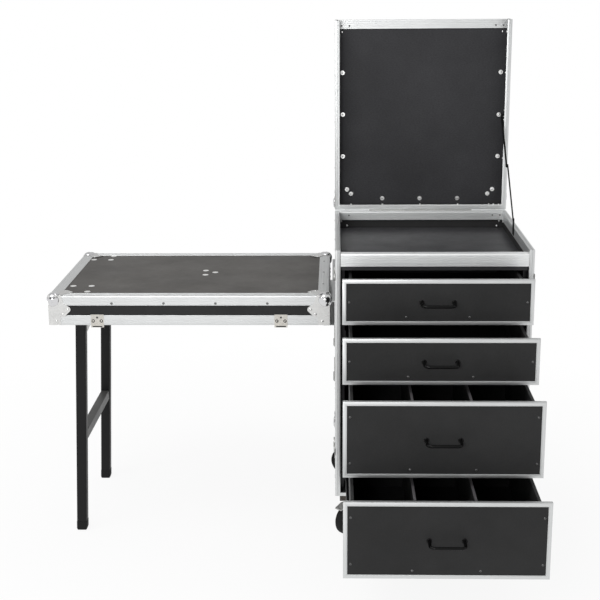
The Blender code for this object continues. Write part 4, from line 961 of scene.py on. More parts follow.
@dataclass(frozen=True)
class BallCorner:
    """Pressed ball corner: a chrome ball with domed sides over three scalloped plates."""

    arm: float = 0.040
    lobe: float = 0.0095
    rivet_far: float = 0.058
    rivet_near: float = 0.043
    thickness: float = 0.0012
    collar: float = 0.0205
    collar_top: float = 0.0062
    collar_rise: float = 0.0052
    limits: tuple[float, float, float] = (1.0, 1.0, 1.0)
    buried: float = 0.008
    base: float = -0.0002

    def outline(self) -> Section:
        """The scalloped outline of one plate, from its corner."""
        half = [(self.arm, 0.0), (self.arm + 0.003, 0.010), (self.arm + 0.007, 0.024),
                *arc((self.rivet_far, self.rivet_near), self.lobe, -65, 125, 6)]
        return [(0.0, 0.0), *half, *((b, a) for a, b in reversed(half))]

    def collar_section(self) -> Section:
        """Section of the collar: distance from the ball's axis and height above the plate."""
        turns = [math.radians(90 * k / 6) for k in range(7)]
        return [(self.collar, self.base),
                *((self.collar_top + (self.collar - self.collar_top) * math.cos(angle),
                   self.thickness + self.collar_rise * math.sin(angle)) for angle in turns),
                (self.collar_top, self.base)]

    def add(self, plates: Workpiece, balls: Workpiece, rivets: Fasteners, corner: Point,
            outward: Point) -> None:
        """Add a ball corner.

        Args:
            plates: Takes the plates.
            balls: Takes the ball and its collar.
            rivets: Takes the rivets.
            corner: The corner of the profiles.
            outward: The signs of the outward directions.
        """
        point, signs = Vector(corner), Vector(outward)
        for vertex in balls.ball(point - signs * SIZES.ball_inset, SIZES.ball_radius):
            depth = min((point[i] - vertex.co[i]) * signs[i] for i in range(3))
            if depth > self.buried:
                vertex.co += signs * (depth - self.buried)
        for normal in range(3):
            first, second = (normal + 1) % 3, (normal + 2) % 3

            def place(a: float, b: float, height: float) -> Vector:
                """A point on this plate: two distances from the corner and a height."""
                spot = point.copy()
                spot[first] -= signs[first] * min(a, self.limits[first])
                spot[second] -= signs[second] * min(b, self.limits[second])
                spot[normal] += signs[normal] * height
                return spot

            plates.loft([[place(a, b, height) for a, b in self.outline()]
                         for height in (self.base, self.thickness)])
            rings = [(arc((SIZES.ball_inset,) * 2, radius, -37.5, 165, 18), height)
                     for radius, height in self.collar_section()]
            balls.loft([[place(*ring[k], height) for ring, height in rings] for k in range(19)])
            facing = Vector((0, 0, 0))
            facing[normal] = signs[normal]
            for a, b in ((self.rivet_far, self.rivet_near), (self.rivet_near, self.rivet_far)):
                rivets.add(place(a, b, self.thickness), facing)

    def build(self, name: str, body: str, rivets: Fasteners, node: str,
              corners: Iterable[tuple[Point, Point]]) -> None:
        """Build ball corners as one piece of plates and one of balls.

        Args:
            name: Start of the pieces' names.
            body: The body that they move with.
            rivets: Takes the rivets.
            node: The node of the frame that the plates stand for.
            corners: Each corner with the signs of its outward directions.
        """
        plates, balls = Workpiece(), Workpiece()
        for corner, outward in corners:
            self.add(plates, balls, rivets, corner, outward)
        plates.finish(f"{name}_corner_plates", body, [Finishes.CORNER_PLATE], [node])
        balls.finish(f"{name}_corner_balls", body, [Finishes.CHROME])


# Sub-assemblies


@dataclass
class CaseBody:
    """The body: side boards with their dishes, profiles, front rail and ball corners."""

    sizes: Sizes = SIZES
    rail_height: float = 0.0405
    rail_depth: float = 0.0265
    rail_top: float = 0.9415
    opening_bottom: float = 0.165
    front_leg: float = 0.012
    rivet_line: float = 0.019
    handle_hole: Pair = (0.0652, 0.0442)
    handle_dish: tuple[Pair, Pair, float] = ((0.150, 0.108), (0.130, 0.088), 0.0165)
    handle_rivets: Pair = (0.0695, 0.0485)
    latch_hole: Pair = (0.0335, 0.0425)
    latch_dish: tuple[Pair, Pair, float] = ((0.074, 0.092), (0.066, 0.084), 0.0078)
    rivets: Fasteners = field(default_factory=lambda: Fasteners("case"))

    def build(self) -> None:
        """Build the body's pieces."""
        self.build_rims()
        self.build_edges()
        self.build_rail()
        self.build_panels()
        self.build_corners()
        self.rivets.make()
        band = self.sizes.depth - self.sizes.rim_face - self.sizes.proud
        # Rear band screws in the darkened steel copy: painted shade.
        dark = Fasteners("case", Finishes.SCREW_DARK, "case_rear_band")
        dark.several([(x, band, 0.9385) for x in (-0.2509, 0.2509, 0.2767)], FRONT, Screw.SMALL_SCREW)
        dark.make()
        # Tray nuts in the lightened steel copy: painted highlight.
        bright = Fasteners("case", Finishes.SCREW_BRIGHT, "case_tray")
        bright.several([(-0.2782, 0.6385, 0.917), (-0.2577, 0.6385, 0.901), (0.2752, 0.6385, 0.9164),
                        (0.2671, 0.6385, 0.900)], FRONT, Screw.ROUND_NUT)
        bright.add((0.2889, 0.630, 0.915), Side.LEFT.out, Screw.ROUND_NUT)
        bright.make()

    def build_rims(self) -> None:
        """Grooved rims round the front and the top."""
        sizes, grooves = self.sizes, self.sizes.profile_grooves
        middle = [sizes.rim_face / 2]
        front = drawn_rim(sizes.leg, self.front_leg, grooves, middle)
        top = drawn_rim(sizes.leg, sizes.leg, grooves, middle, grooves)
        rims = Workpiece()
        for side in Side:
            rims.loft([[(sizes.x(side, p), q, sizes.bottom) for p, q in front],
                       [(sizes.x(side, p), q, sizes.rim - q) for p, q in front]], paints=(2,))
            rims.loft([[(sizes.x(side, p), q, sizes.rim - q) for p, q in top],
                       [(sizes.x(side, p), sizes.depth - p, sizes.rim - q) for p, q in top]], paints=(1,))
        rims.loft([[(sizes.x(side, p), sizes.depth - p, sizes.rim - q) for p, q in top] for side in Side])
        rims.finish("body_rims", "case", PROFILE_BY_SPAN, ["case_profiles"])
        line, high = self.rivet_line, sizes.rim - self.rivet_line
        for side in Side:
            face = sizes.x(side, -sizes.proud)
            self.rivets.row((face, line, 0.21), (face, line, 0.82), 2, side.out)
            self.rivets.row((face, 0.10, high), (face, 0.57, high), 4, side.out)

    def build_edges(self) -> None:
        """Edge angles at the rear and the bottom."""
        sizes, line, rear = self.sizes, self.rivet_line, self.sizes.depth + self.sizes.proud
        section = drawn_angle(sizes.leg, sizes.leg, sizes.profile_grooves, sizes.profile_grooves)
        edges = Workpiece()
        for side in Side:
            edges.loft([[(sizes.x(side, p), sizes.depth - q, z) for p, q in section]
                        for z in (sizes.bottom + 0.001, sizes.rim - sizes.leg + 0.0006)], paints=(2,))
            edges.loft([[(sizes.x(side, p), sizes.leg - 0.0005, sizes.bottom + q) for p, q in section],
                        [(sizes.x(side, p), sizes.depth - p, sizes.bottom + q) for p, q in section]],
                       paints=(1,))
            for z in (0.30, 0.46, 0.62, 0.78):
                self.rivets.add((sizes.x(side, -sizes.proud), sizes.depth - line, z), side.out)
                self.rivets.add((sizes.x(side, line), rear, z), REAR)
            self.rivets.several([(sizes.x(side, -sizes.proud), y, sizes.bottom + line)
                                 for y in (0.12, 0.28, 0.44)], side.out)
        edges.loft([[(sizes.x(side, p), sizes.depth - p, sizes.bottom + q) for p, q in section]
                    for side in Side])
        low, end = sizes.bottom, sizes.rim_inner + 0.001
        edges.prism("X", [(0.0, low), (sizes.leg, low), (sizes.leg, low + sizes.skin),
                          (sizes.skin, low + sizes.skin), (sizes.skin, self.opening_bottom),
                          (0.0, self.opening_bottom)], -end, end)
        edges.finish("body_edges", "case", PROFILE_BY_SPAN, ["case_profiles"])
        for x, z in ((0.20, low + line), (0.24, sizes.rim - 0.012)):
            self.rivets.row((-x, rear, z), (x, rear, z), 4, REAR)

    def build_rail(self) -> None:
        """Grooved rail across the front, above the drawers."""
        top, low, wall, skin = self.rail_top, self.rail_top - self.rail_height, 0.002, 0.0015
        outline: Section = [(0.0012, low), (0.0, low + 0.0012)]
        heights = [low + self.rail_height * share for share in (0.2, 0.4, 0.6, 0.8)]
        outline += [(into, along) for along, into in groove_points(heights, 0.0030, 0.0014)]
        outline += [(0.0, top - 0.0014), (0.0004, top - 0.0004), (0.0014, top)]
        outline += [(along, top - into) for along, into in groove_points([0.009, 0.018], 0.002)]
        outline += [(self.rail_depth, top), (self.rail_depth, top - skin), (wall, top - skin), (wall, low)]
        end = self.sizes.rim_inner - self.sizes.gap
        rail = Workpiece()
        rail.prism("X", outline, -end, end)
        # The rail takes the lightened aluminium copy: painted light.
        rail.finish("front_rail_grooved", "case", [Finishes.ALUMINIUM_BRIGHT], ["front_rail"])

    def build_panels(self) -> None:
        """Side boards with cut-outs, and the handle and latch dishes in them."""
        sizes, middle = self.sizes, self.sizes.handle_z
        places = [(y, middle, *self.handle_hole) for y in sizes.handle_places]
        places += [(sizes.latch_y, z, *self.latch_hole) for z in sizes.latch_places]
        holes = [(y - wide, y + wide, z - tall, z + tall) for y, z, wide, tall in places]
        for side in Side:
            node = f"side_panel_{side.word}"
            board = Workpiece()
            board.pierced_board(side, sizes.panel_outer, sizes.panel_inner,
                                (sizes.rim_web + sizes.gap, sizes.depth - sizes.panel_inset),
                                (sizes.bottom + sizes.panel_inset, sizes.rim - sizes.rim_web - sizes.gap),
                                holes)
            board.finish(f"side_board_{side.word}", "case", [Finishes.LAMINATE], [node])
            dishes, stubs = Workpiece(), Workpiece()
            for y in sizes.handle_places:
                self.add_dish(dishes, side, (y, middle), *self.handle_dish)
                self.rivets.several([(side.value * (sizes.panel_outer + 0.001),
                                      y + u * self.handle_rivets[0], middle + v * self.handle_rivets[1])
                                     for u, v in QUARTERS], side.out)
                for sign in (-1, 1):
                    stubs.disc((side.value * sizes.panel_outer, y + sign * 0.0648,
                                middle + sizes.handle_pivot), (0, -sign, 0), 0.003, 0.0075)
            for z in sizes.latch_places:
                self.add_dish(dishes, side, (sizes.latch_y, z), *self.latch_dish)
            dishes.finish(f"side_dishes_{side.word}", "case", [Finishes.ZINC], [node])
            stubs.finish(f"handle_stubs_{side.word}", "case", [Finishes.ZINC])

    def add_dish(self, piece: Workpiece, side: Side, middle: Pair,
                 flange: Pair, opening: Pair, depth: float) -> None:
        """Add a pressed dish with round corners.

        Args:
            piece: Takes the dish.
            side: The side of the case.
            middle: Its middle in Y and Z.
            flange: Outer width and height of its flange.
            opening: Width and height of its opening.
            depth: Depth of its floor below the board.
        """
        levels = [(opening, 0.012, 0.006, -depth), (opening, 0.004, 0.009, -depth + 0.002),
                  (opening, 0.002, 0.010, 0.0002), (opening, 0.0, 0.011, 0.0010),
                  (flange, 0.002, 0.011, 0.0010), (flange, 0.0, 0.012, 0.0001),
                  (opening, 0.0, 0.011, -0.0002), (opening, 0.002, 0.009, -depth - 0.0008),
                  (opening, 0.012, 0.006, -depth - 0.0010)]
        piece.loft([[(side.value * (self.sizes.panel_outer + out), middle[0] + a, middle[1] + b)
                     for a, b in rounded_rectangle(size[0] - less, size[1] - less, radius)]
                    for size, less, radius, out in levels])

    def build_corners(self) -> None:
        """Ball corners at the bottom rear."""
        sizes = self.sizes
        BallCorner().build("body", "case", self.rivets, "case_profiles",
                           [((sizes.x(side), sizes.depth, sizes.bottom), (side.value, 1, -1))
                            for side in Side])


@dataclass
class Drawer:
    """One drawer: front with trim, box, dividers, handle and slides."""

    number: int
    trim_face: float = 0.0115
    trim_skin: float = 0.0012
    handle_width: float = 0.095
    handle_reach: float = 0.040
    half_width: float = 0.2586
    depth: float = 0.580
    wall: float = 0.009
    floor: float = 0.006
    divider: float = 0.006

    @property
    def body(self) -> str:
        """The body that the drawer's pieces move with."""
        return f"drawer_{self.number}"

    def build(self) -> None:
        """Build the drawer's pieces."""
        low, high = node_box(f"{self.body}_front")
        self.build_front(low, high)
        self.build_handle(low.y + self.trim_skin, (low.z + high.z) / 2)
        low, high = node_box(f"{self.body}_box")
        self.build_box(low, high)
        self.build_slides(high.y)

    def build_front(self, low: Vector, high: Vector) -> None:
        """Laminate front, its mitred aluminium trim and screws."""
        skin, node = self.trim_skin, f"{self.body}_front"
        inset = skin + SIZES.proud
        board = Workpiece()
        board.box((low.x + inset, low.y + inset, low.z + inset), (high.x - inset, high.y, high.z - inset))
        board.finish(f"{self.body}_front_board", self.body, [Finishes.LAMINATE], [node])
        section = drawn_angle(self.trim_face, high.y - low.y - 0.0005, [self.trim_face - 0.0022], (), skin)
        trim = Workpiece()
        trim.loft([[(high.x - p if u > 0 else low.x + p, low.y + q, high.z - p if v > 0 else low.z + p)
                    for p, q in section] for u, v in SQUARE], closed=True, paints=(0, 1, 0, 1))
        trim.finish(f"{self.body}_front_trim", self.body, [Finishes.ALUMINIUM_X, Finishes.ALUMINIUM_Z],
                    [node])
        tall = high.z - low.z > 0.18
        heights = (low.z + 0.042, high.z - 0.045) if tall else ((low.z + high.z) / 2,)
        places = [(x, z) for x in (low.x + 0.020, high.x - 0.020) for z in heights]
        places += [(low.x + (high.x - low.x) * share, low.z + 0.0235) for share in (0.335, 0.665)]
        # Front screws in the darkened steel copy: painted shade.
        screws = Fasteners(self.body, Finishes.SCREW_DARK)
        screws.several([(x, low.y + skin, z) for x, z in places], FRONT, Screw.CROSS_SCREW)
        screws.make()

    def build_handle(self, face: float, middle: float) -> None:
        """Bow handle on two round feet."""
        half, node = self.handle_width / 2, f"{self.body}_handle"
        out, low = face - self.handle_reach, middle - 0.003
        bent_bar(f"{self.body}_handle_bow", self.body,
                 [(-half, face, middle), (-half, out, low), (half, out, low), (half, face, middle)],
                 0.0045, 0.013, Finishes.HANDLE, node)
        feet = Workpiece()
        for x in (-half, half):
            feet.disc((x, face + 0.0002, middle), FRONT, 0.0075, 0.0035, chamfer=0.0010)
        feet.finish(f"{self.body}_handle_feet", self.body, [Finishes.HANDLE], [node])

    def build_box(self, low: Vector, high: Vector) -> None:
        """Box with dividers and their edge bands."""
        half, wall, back, node = self.half_width, self.wall, high.y, f"{self.body}_box"
        front, floor = back - self.depth, low.z + self.floor
        box = Workpiece()
        box.loft([[(-half + inset, front + inset, z), (half - inset, front + inset, z),
                   (half - inset, back - inset, z), (-half + inset, back - inset, z)]
                  for inset, z in ((0.0, low.z), (0.0, high.z), (wall, high.z), (wall, floor))])
        box.finish(f"{self.body}_box_boards", self.body, [Finishes.LAMINATE], [node], 0.0006)
        if self.number > 2:
            third, thick, band = (half - wall) / 3, self.divider / 2, self.divider / 2 + 0.0006
            dividers = Workpiece()
            for x in (-third, third):
                dividers.box((x - thick, front + wall, floor), (x + thick, back - wall, high.z - 0.005))
                dividers.box((x - band, front + wall, high.z - 0.0075),
                             (x + band, back - wall, high.z - 0.003), 1)
            dividers.finish(f"{self.body}_dividers", self.body,
                            [Finishes.LAMINATE, Finishes.DIVIDER_EDGE], [node], 0.0004)

    def build_slides(self, back: float) -> None:
        """Rolled slide members on both sides; the drawer's own ends at its back."""
        start = self.half_width - SIZES.proud
        for side in Side:
            node = f"{self.body}_slide_{side.word}"
            low, high = node_box(node)
            inner, outer = sorted((abs(low.x), abs(high.x)))
            z = (low.z + high.z) / 2
            for name, body, stands_for, member in (
                    ("middle", f"{self.body}_slides", node,
                     ((outer, inner), (low.y, high.y), (low.z, high.z))),
                    ("drawer", self.body, f"{self.body}_box",
                     ((start, start + 0.0040), (back - 0.5596, back - 0.0002), (z - 0.017, z + 0.017)))):
                piece = Workpiece()
                self.add_member(piece, side, *member)
                # The slide members take the darkened slide steel: painted shade.
                piece.finish(f"{self.body}_{name}_member_{side.word}", body, [Finishes.SLIDE],
                             [stands_for])

    def add_member(self, piece: Workpiece, side: Side, span_x: Pair, span_y: Pair, span_z: Pair) -> None:
        """Add a C-shaped member with rolled edges.

        Args:
            piece: Takes the member.
            side: The side of the case.
            span_x: Half width at its web and at its open side.
            span_y: Its ends.
            span_z: Its height.
        """
        (x0, x1), (z0, z1) = span_x, span_z
        web, lip, wide, way = 0.0012, 0.0008, abs(x1 - x0), 1 if x1 > x0 else -1
        outline = [(0.0, z0 + lip), (lip, z0), (wide, z0), (wide, z0 + 0.0045),
                   (web * 1.6, z0 + 0.0055), (web, z0 + 0.008), (web, z1 - 0.008),
                   (web * 1.6, z1 - 0.0055), (wide, z1 - 0.0045), (wide, z1), (lip, z1), (0.0, z1 - lip)]
        piece.loft([[(side.value * (x0 + way * a), y, z) for a, z in outline] for y in span_y])


@dataclass
class Lid:
    """The lid: boards, profiles, strip, ball corners and its rivets."""

    sizes: Sizes = SIZES
    strip_face: float = 0.030
    strip_corners: tuple[Point, Point] = ((0.1815, 0.6560, 0.9465), (0.2985, 0.6572, 0.9563))
    rivet_line: float = 0.019
    rivets: Fasteners = field(default_factory=lambda: Fasteners("lid"))

    def build(self) -> None:
        """Build the lid's pieces."""
        self.build_boards()
        self.build_profiles()
        self.build_strips()
        self.build_rivets()
        self.rivets.make()

    def build_boards(self) -> None:
        """Panel, hinge-side wall, side walls and the stay's bracket."""
        sizes = self.sizes
        outer, inner, panel = sizes.panel_outer, sizes.panel_inner, sizes.panel
        out, start = sizes.lid_top_y - sizes.panel_inset, sizes.lid_rim_y + sizes.rim_web + sizes.gap
        low, high = sizes.lid_near + sizes.panel_inset, sizes.lid_far - sizes.panel_inset
        boards = Workpiece()
        boards.box((-inner, out - panel, low + panel), (inner, out, high))
        boards.box((-inner, start, low), (inner, out, low + panel))
        for side in Side:
            boards.box((side.value * inner, start, low), (side.value * outer, out, high))
        boards.finish("lid_boards_laminated", "lid", [Finishes.LID_LINING], ["lid_boards"])
        y, z = sizes.stay_upper
        bracket = Workpiece()
        bracket.box((inner + 0.0002, y - 0.006, z - 0.015), (inner - 0.0012, y + 0.006, z + 0.015))
        bracket.disc((inner - 0.001, y, z), Side.LEFT.out, 0.0025, 0.0115, 16)
        bracket.finish("lid_stay_bracket", "lid", [Finishes.BLACK], ["lid_boards"])

    def build_profiles(self) -> None:
        """Rim, edge angles and the strip along the free edge."""
        sizes, skin, gap = self.sizes, self.sizes.skin, self.sizes.gap
        rim = drawn_rim(sizes.leg, sizes.rim_web, sizes.profile_grooves, [sizes.rim_face / 2])
        edge = drawn_angle(sizes.leg, sizes.leg, sizes.profile_grooves, sizes.profile_grooves)
        profiles = Workpiece()
        for section, base, way in ((rim, sizes.lid_rim_y, 1), (edge, sizes.lid_top_y, -1)):
            profiles.loft([[(sizes.x(side, p), base + way * q,
                             sizes.lid_near + p if near else sizes.lid_far) for p, q in section]
                           for side, near in ((Side.LEFT, False), (Side.LEFT, True), (Side.RIGHT, True),
                                              (Side.RIGHT, False))], paints=(2, 0, 2))
        top, out = sizes.lid_far, sizes.lid_top_y
        inner, end = out - 2 * sizes.panel_inset - sizes.panel, top - self.strip_face
        outline = [(out - 0.001, top), (inner + 0.001, top), (inner, top - 0.001)]
        outline += [(inner + into, top - along) for along, into
                    in groove_points([self.strip_face * s for s in (0.2, 0.4, 0.6, 0.8)], 0.002)]
        outline += [(inner, end), (inner + skin, end), (inner + skin, top - skin),
                    (out - skin, top - skin), (out - skin, end), (out, end), (out, top - 0.001)]
        profiles.prism("X", outline, -sizes.panel_inner + gap, sizes.panel_inner - gap)
        for side in Side:
            profiles.box((sizes.x(side), sizes.lid_rim_y + sizes.leg - 0.0002, top - sizes.leg),
                         (sizes.x(side, skin), out - sizes.leg + 0.0002, top), 2)
            profiles.box((side.value * (sizes.panel_inner - 0.0006), out - skin, end),
                         (sizes.x(side, skin / 2), out, top))
        profiles.finish("lid_profiles_drawn", "lid", PROFILE_BY_SPAN, ["lid_profiles"])

    def build_strips(self) -> None:
        """Strips behind the hinge gap, and the ball corners."""
        sizes = self.sizes
        strip = Workpiece()
        for side in Side:
            strip.box(*((side.value * half, y, z) for half, y, z in self.strip_corners))
        # The strips take the lightened aluminium copy: painted light.
        strip.finish("lid_hinge_strips", "lid", [Finishes.ALUMINIUM_BRIGHT], ["lid_profiles"])
        BallCorner(limits=(1.0, 0.0625, 1.0)).build(
            "lid", "lid", self.rivets, "lid_profiles",
            [((sizes.x(side), sizes.lid_top_y, sizes.lid_near), (side.value, 1, -1)) for side in Side])

    def build_rivets(self) -> None:
        """Washer rivets of the panel, and the small screws of walls and strip."""
        sizes = self.sizes
        face = sizes.lid_top_y - sizes.panel_inset - sizes.panel
        floor = sizes.lid_near + sizes.panel_inset + sizes.panel
        washers = [(-0.2739, 1.427), (-0.2727, 1.2827), (-0.2724, 1.1359), (0.2731, 1.4268),
                   (0.2711, 1.2807), (0.2715, 1.1355), (-0.2573, 1.0182), (-0.2431, 1.0027),
                   (-0.1321, 0.9862), (0.0003, 0.9862), (0.1332, 0.9862), (0.2560, 1.0183),
                   (0.2395, 1.0025)]
        # Washer rivets, screws and nuts in the lightened steel copy: painted highlight.
        bright = Fasteners("lid", Finishes.SCREW_BRIGHT, "lid_washers")
        bright.several([(x, face, z) for x, z in washers], FRONT, Screw.WASHER_RIVET)
        bright.several([(-0.2759, face, 1.5654), (0.2749, face, 1.5641)], FRONT, Screw.SMALL_SCREW)
        bright.several([(x, 0.690, floor) for x in (-0.243, -0.132, 0.001, 0.134, 0.2442, 0.2602)], UP,
                       Screw.ROUND_NUT)
        bright.add((0.2774, 0.6819, floor), UP, Screw.ROUND_NUT)
        for z in (1.1297, 1.2637, 1.275, 1.2965, 1.4253, 1.5637):
            bright.add((sizes.panel_inner, 0.695, z), Side.LEFT.out, Screw.ROUND_NUT)
            bright.add((-sizes.panel_inner, 0.695, z), Side.RIGHT.out, Screw.ROUND_NUT)
        bright.make()
        strip = face - sizes.panel_inset
        # Strip screws in the darkened steel copy: painted shade.
        dark = Fasteners("lid", Finishes.SCREW_DARK, "lid_strip")
        dark.several([(x, strip, 1.5855) for x in (-0.2769, -0.2502, 0.2511, 0.2767)], FRONT,
                     Screw.SMALL_SCREW)
        dark.make()
        for side in Side:
            for z in (1.10, 1.26, 1.42, 1.56):
                self.rivets.add((sizes.x(side, -sizes.proud), sizes.lid_rim_y + self.rivet_line, z),
                                side.out)
                self.rivets.add((sizes.x(side, self.rivet_line), sizes.lid_top_y + sizes.proud, z), REAR)


@dataclass
class Cover:
    """The front cover, lying as a table: boards, frames, corners, bolts and keepers."""

    sizes: Sizes = SIZES
    top_leg: float = 0.035
    side_leg: float = 0.031
    inner_leg: float = 0.020
    keeper_end: float = 0.1485
    keeper_half: float = 0.020
    keeper_z: Pair = (0.711, 0.752)
    keeper_screw: Pair = (0.0125, 0.0205)
    rivets: Fasteners = field(default_factory=lambda: Fasteners("cover"))

    def x(self, u: int, inset: float = 0.0) -> float:
        """X of an end of the outline, drawn in by an inset."""
        return self.sizes.cover_x1 - inset if u > 0 else self.sizes.cover_x0 + inset

    def y(self, v: int, inset: float = 0.0) -> float:
        """Y of a long side of the outline, drawn in by an inset."""
        return 2 * self.sizes.half_width - inset if v > 0 else inset

    def build(self) -> None:
        """Build the cover's pieces."""
        sizes, leg, side_leg = self.sizes, self.top_leg, self.side_leg
        self.build_boards()
        top = [leg * s for s in (0.25, 0.5, 0.75)] + [leg - 0.0030]
        edge = [side_leg * s for s in (0.22, 0.42, 0.62)] + [side_leg - 0.0030]
        self.build_frame("top", drawn_angle(leg, side_leg, top, edge), sizes.cover_top, -1)
        self.build_frame("rim", drawn_rim(side_leg, self.inner_leg, edge, [sizes.rim_face / 2]),
                         sizes.cover_bottom, 1)
        self.build_corners()
        self.build_keepers()
        self.build_rivets()
        self.rivets.make()

    def build_boards(self) -> None:
        """Table top and black side boards."""
        sizes, inset, panel = self.sizes, self.sizes.panel_inset, self.sizes.panel
        low, top = sizes.cover_bottom + sizes.rim_web + sizes.gap, sizes.cover_top - inset
        under = top - panel - sizes.proud
        board = Workpiece()
        board.box((self.x(-1, inset), self.y(-1, inset), top - panel),
                  (self.x(1, inset), self.y(1, inset), top))
        # The lifted grey of the table top is painted sheen.
        board.finish("table_top_board", "cover", [Finishes.TABLE_TOP], ["cover_boards"])
        walls = Workpiece()
        for sign in (-1, 1):
            walls.box((self.x(-1, inset), self.y(sign, inset), low),
                      (self.x(1, inset), self.y(sign, inset + panel), under))
            walls.box((self.x(sign, inset), self.y(-1, inset + panel), low),
                      (self.x(sign, inset + panel), self.y(1, inset + panel), under))
        walls.finish("table_side_boards", "cover", [Finishes.LAMINATE], ["cover_boards"])

    def build_frame(self, name: str, section: Section, base: float, way: int) -> None:
        """Mitred frame whose section goes up or down from a base."""
        frame = Workpiece()
        frame.loft([[(self.x(u, p), self.y(v, p), base + way * q) for p, q in section]
                    for u, v in SQUARE], closed=True, paints=(0, 1, 0, 1))
        frame.finish(f"table_{name}_frame", "cover", PROFILE_BY_SPAN, [f"cover_{name}_frame"])

    def build_corners(self) -> None:
        """Ball corners on the top and bent plates round the lower corners, with a rivet on each face."""
        top, bottom = self.sizes.cover_top, self.sizes.cover_bottom
        wide, skin, under, z = 0.0355, 0.0010, 0.0002, top - 0.080
        plates, balls = Workpiece(), Workpiece()
        for u, v in QUARTERS:
            x, y = self.x(u), self.y(v)
            BallCorner().add(plates, balls, self.rivets, (x, y, top), (u, v, 1))
            plates.prism("Z", [(x + u * skin, y + v * skin), (x - u * wide, y + v * skin),
                               (x - u * wide, y - v * under), (x - u * under, y - v * under),
                               (x - u * under, y - v * wide), (x + u * skin, y - v * wide)],
                         bottom + 0.0006, bottom + 0.0535)
            self.rivets.add((x - u * 0.022, y + v * skin, z), (0, v, 0))
            self.rivets.add((x + u * skin, y - v * 0.022, z), (u, 0, 0))
        plates.finish("table_corner_plates", "cover", [Finishes.CORNER_PLATE], ["cover_top_frame"])
        balls.finish("table_corner_balls", "cover", [Finishes.CHROME])

    def build_keepers(self) -> None:
        """Latch keepers on the long sides."""
        (low, high), half, (offset, height) = self.keeper_z, self.keeper_half, self.keeper_screw
        keepers = Workpiece()
        screws = Fasteners("cover", Finishes.KEEPER, "cover_keepers")
        for x in (self.x(-1, self.keeper_end), self.x(1, self.keeper_end)):
            for v in (-1, 1):
                y, out = self.y(v), (0, v, 0)
                face = y + v * 0.0013
                keepers.box((x - half, y - v * self.sizes.proud, low), (x + half, face, high))
                keepers.box((x - half, face, low + 0.0095), (x + half, face + v * 0.0004, low + 0.0112))
                # The slot, the hole and the rings under the screws are thin sheets in the recess shadow
                # finish: painted shade.
                keepers.box((x - 0.015, face, low + 0.0012),
                            (x + 0.015, face + v * 0.0003, low + 0.0048), 1)
                keepers.disc((x, face, low + 0.0315), out, 0.0030, 0.0003, 16, 1)
                for at in (x - offset, x + offset):
                    keepers.disc((at, face, low + height), out, 0.0052, 0.0002, 16, 1)
                    screws.add((at, face + v * 0.0002, low + height), out, Screw.SMALL_SCREW)
        keepers.finish("table_latch_keepers", "cover", [Finishes.KEEPER, Finishes.RECESS],
                       ["cover_rim_frame"])
        screws.make()

    def build_rivets(self) -> None:
        """Rivets of the frames and the flat bolts of the leg bracket."""
        sizes, proud, line = self.sizes, self.sizes.proud, 0.787
        # Frame rivets and top screws in the darkened steel copy: painted shade.
        dark = Fasteners("cover", Finishes.SCREW_DARK, "cover_rails")
        for x in (-0.985, -0.825, -0.666, -0.507):
            for v in (-1, 1):
                dark.add((x, self.y(v, -proud), line), (0, v, 0))
        for u in (-1, 1):
            dark.several([(self.x(u, -proud), y, line) for y in (0.14, 0.30, 0.46)], (u, 0, 0))
        dark.several([(self.x(1, 0.020), y, sizes.cover_top + proud) for y in (0.15, 0.31, 0.47)], UP,
                     Screw.SMALL_SCREW)
        dark.make()
        # Flat bolts in the lightened steel copy: painted highlight.
        bolts = Fasteners("cover", Finishes.SCREW_BRIGHT, "cover_bolts")
        bolts.several([(x, y, sizes.cover_top - sizes.panel_inset) for x, y in (
            (-1.133, 0.506), (-1.074, 0.503), (-1.074, 0.560), (-1.128, 0.132), (-1.070, 0.132),
            (-1.070, 0.061), (-0.7285, 0.342), (-0.695, 0.316), (-0.724, 0.282))], UP, Screw.FLAT_BOLT)
        bolts.make()


@dataclass
class LegFrame:
    """Folding legs of the table: square tubes, crossbar, gussets and foot caps."""

    section: float = 0.032
    lean: float = math.radians(2.6)
    pivot: Pair = (-1.0965, 0.755)
    rows: Pair = (0.084, 0.516)
    crossbar: Pair = (0.304, 0.334)
    crossbar_wall: float = 0.003

    def centre(self, z: float) -> float:
        """Centre of a leg at a height."""
        return self.pivot[0] - (self.pivot[1] - z) * math.tan(self.lean)

    def add_leg(self, piece: Workpiece, y: float, radius: float, levels: Sequence[Pair]) -> None:
        """Loft square levels, each a (height, width), along the line of a leg."""
        piece.loft([[(self.centre(z) + a, y + b, z) for a, b in rounded_rectangle(size, size, radius, 3)]
                    for z, size in levels])

    def build(self) -> None:
        """Build the legs' pieces."""
        size, half, top = self.section, self.section / 2, self.pivot[1] - 0.036
        edge = self.centre(top) + half - 0.001
        tubes, caps, ties = Workpiece(), Workpiece(), Workpiece()
        for y in self.rows:
            self.add_leg(tubes, y, 0.003, ((self.pivot[1] + half, size), (0.012, size)))
            self.add_leg(caps, y, 0.004, ((0.030, 0.0335), (0.006, 0.0335), (0.0, 0.0300)))
            ties.prism("Y", [(edge, top), (edge + 0.024, top), (edge, top - 0.050)],
                       y - 0.0015, y + 0.0015)
        tubes.finish("leg_tubes", "legs", [Finishes.BLACK], ["leg_frame"])
        caps.finish("leg_foot_caps", "legs", [Finishes.RUBBER], ["leg_frame"])
        ties.finish("leg_gussets", "legs", [Finishes.ZINC], ["leg_frame"], 0.0003)
        wall, (low, high) = self.crossbar_wall, self.crossbar
        left, right = self.centre(high) - half + 0.002, self.centre(low) + half - 0.002
        bar = Workpiece()
        bar.prism("Y", [(left, high), (left, high - wall), (right - wall, high - wall),
                        (right - wall, low), (right, low), (right, high - 0.001), (right - 0.001, high)],
                  self.rows[0] + half - 0.001, self.rows[1] - half + 0.001)
        bar.finish("leg_crossbar", "legs", [Finishes.BAR_GREY], ["leg_frame"])


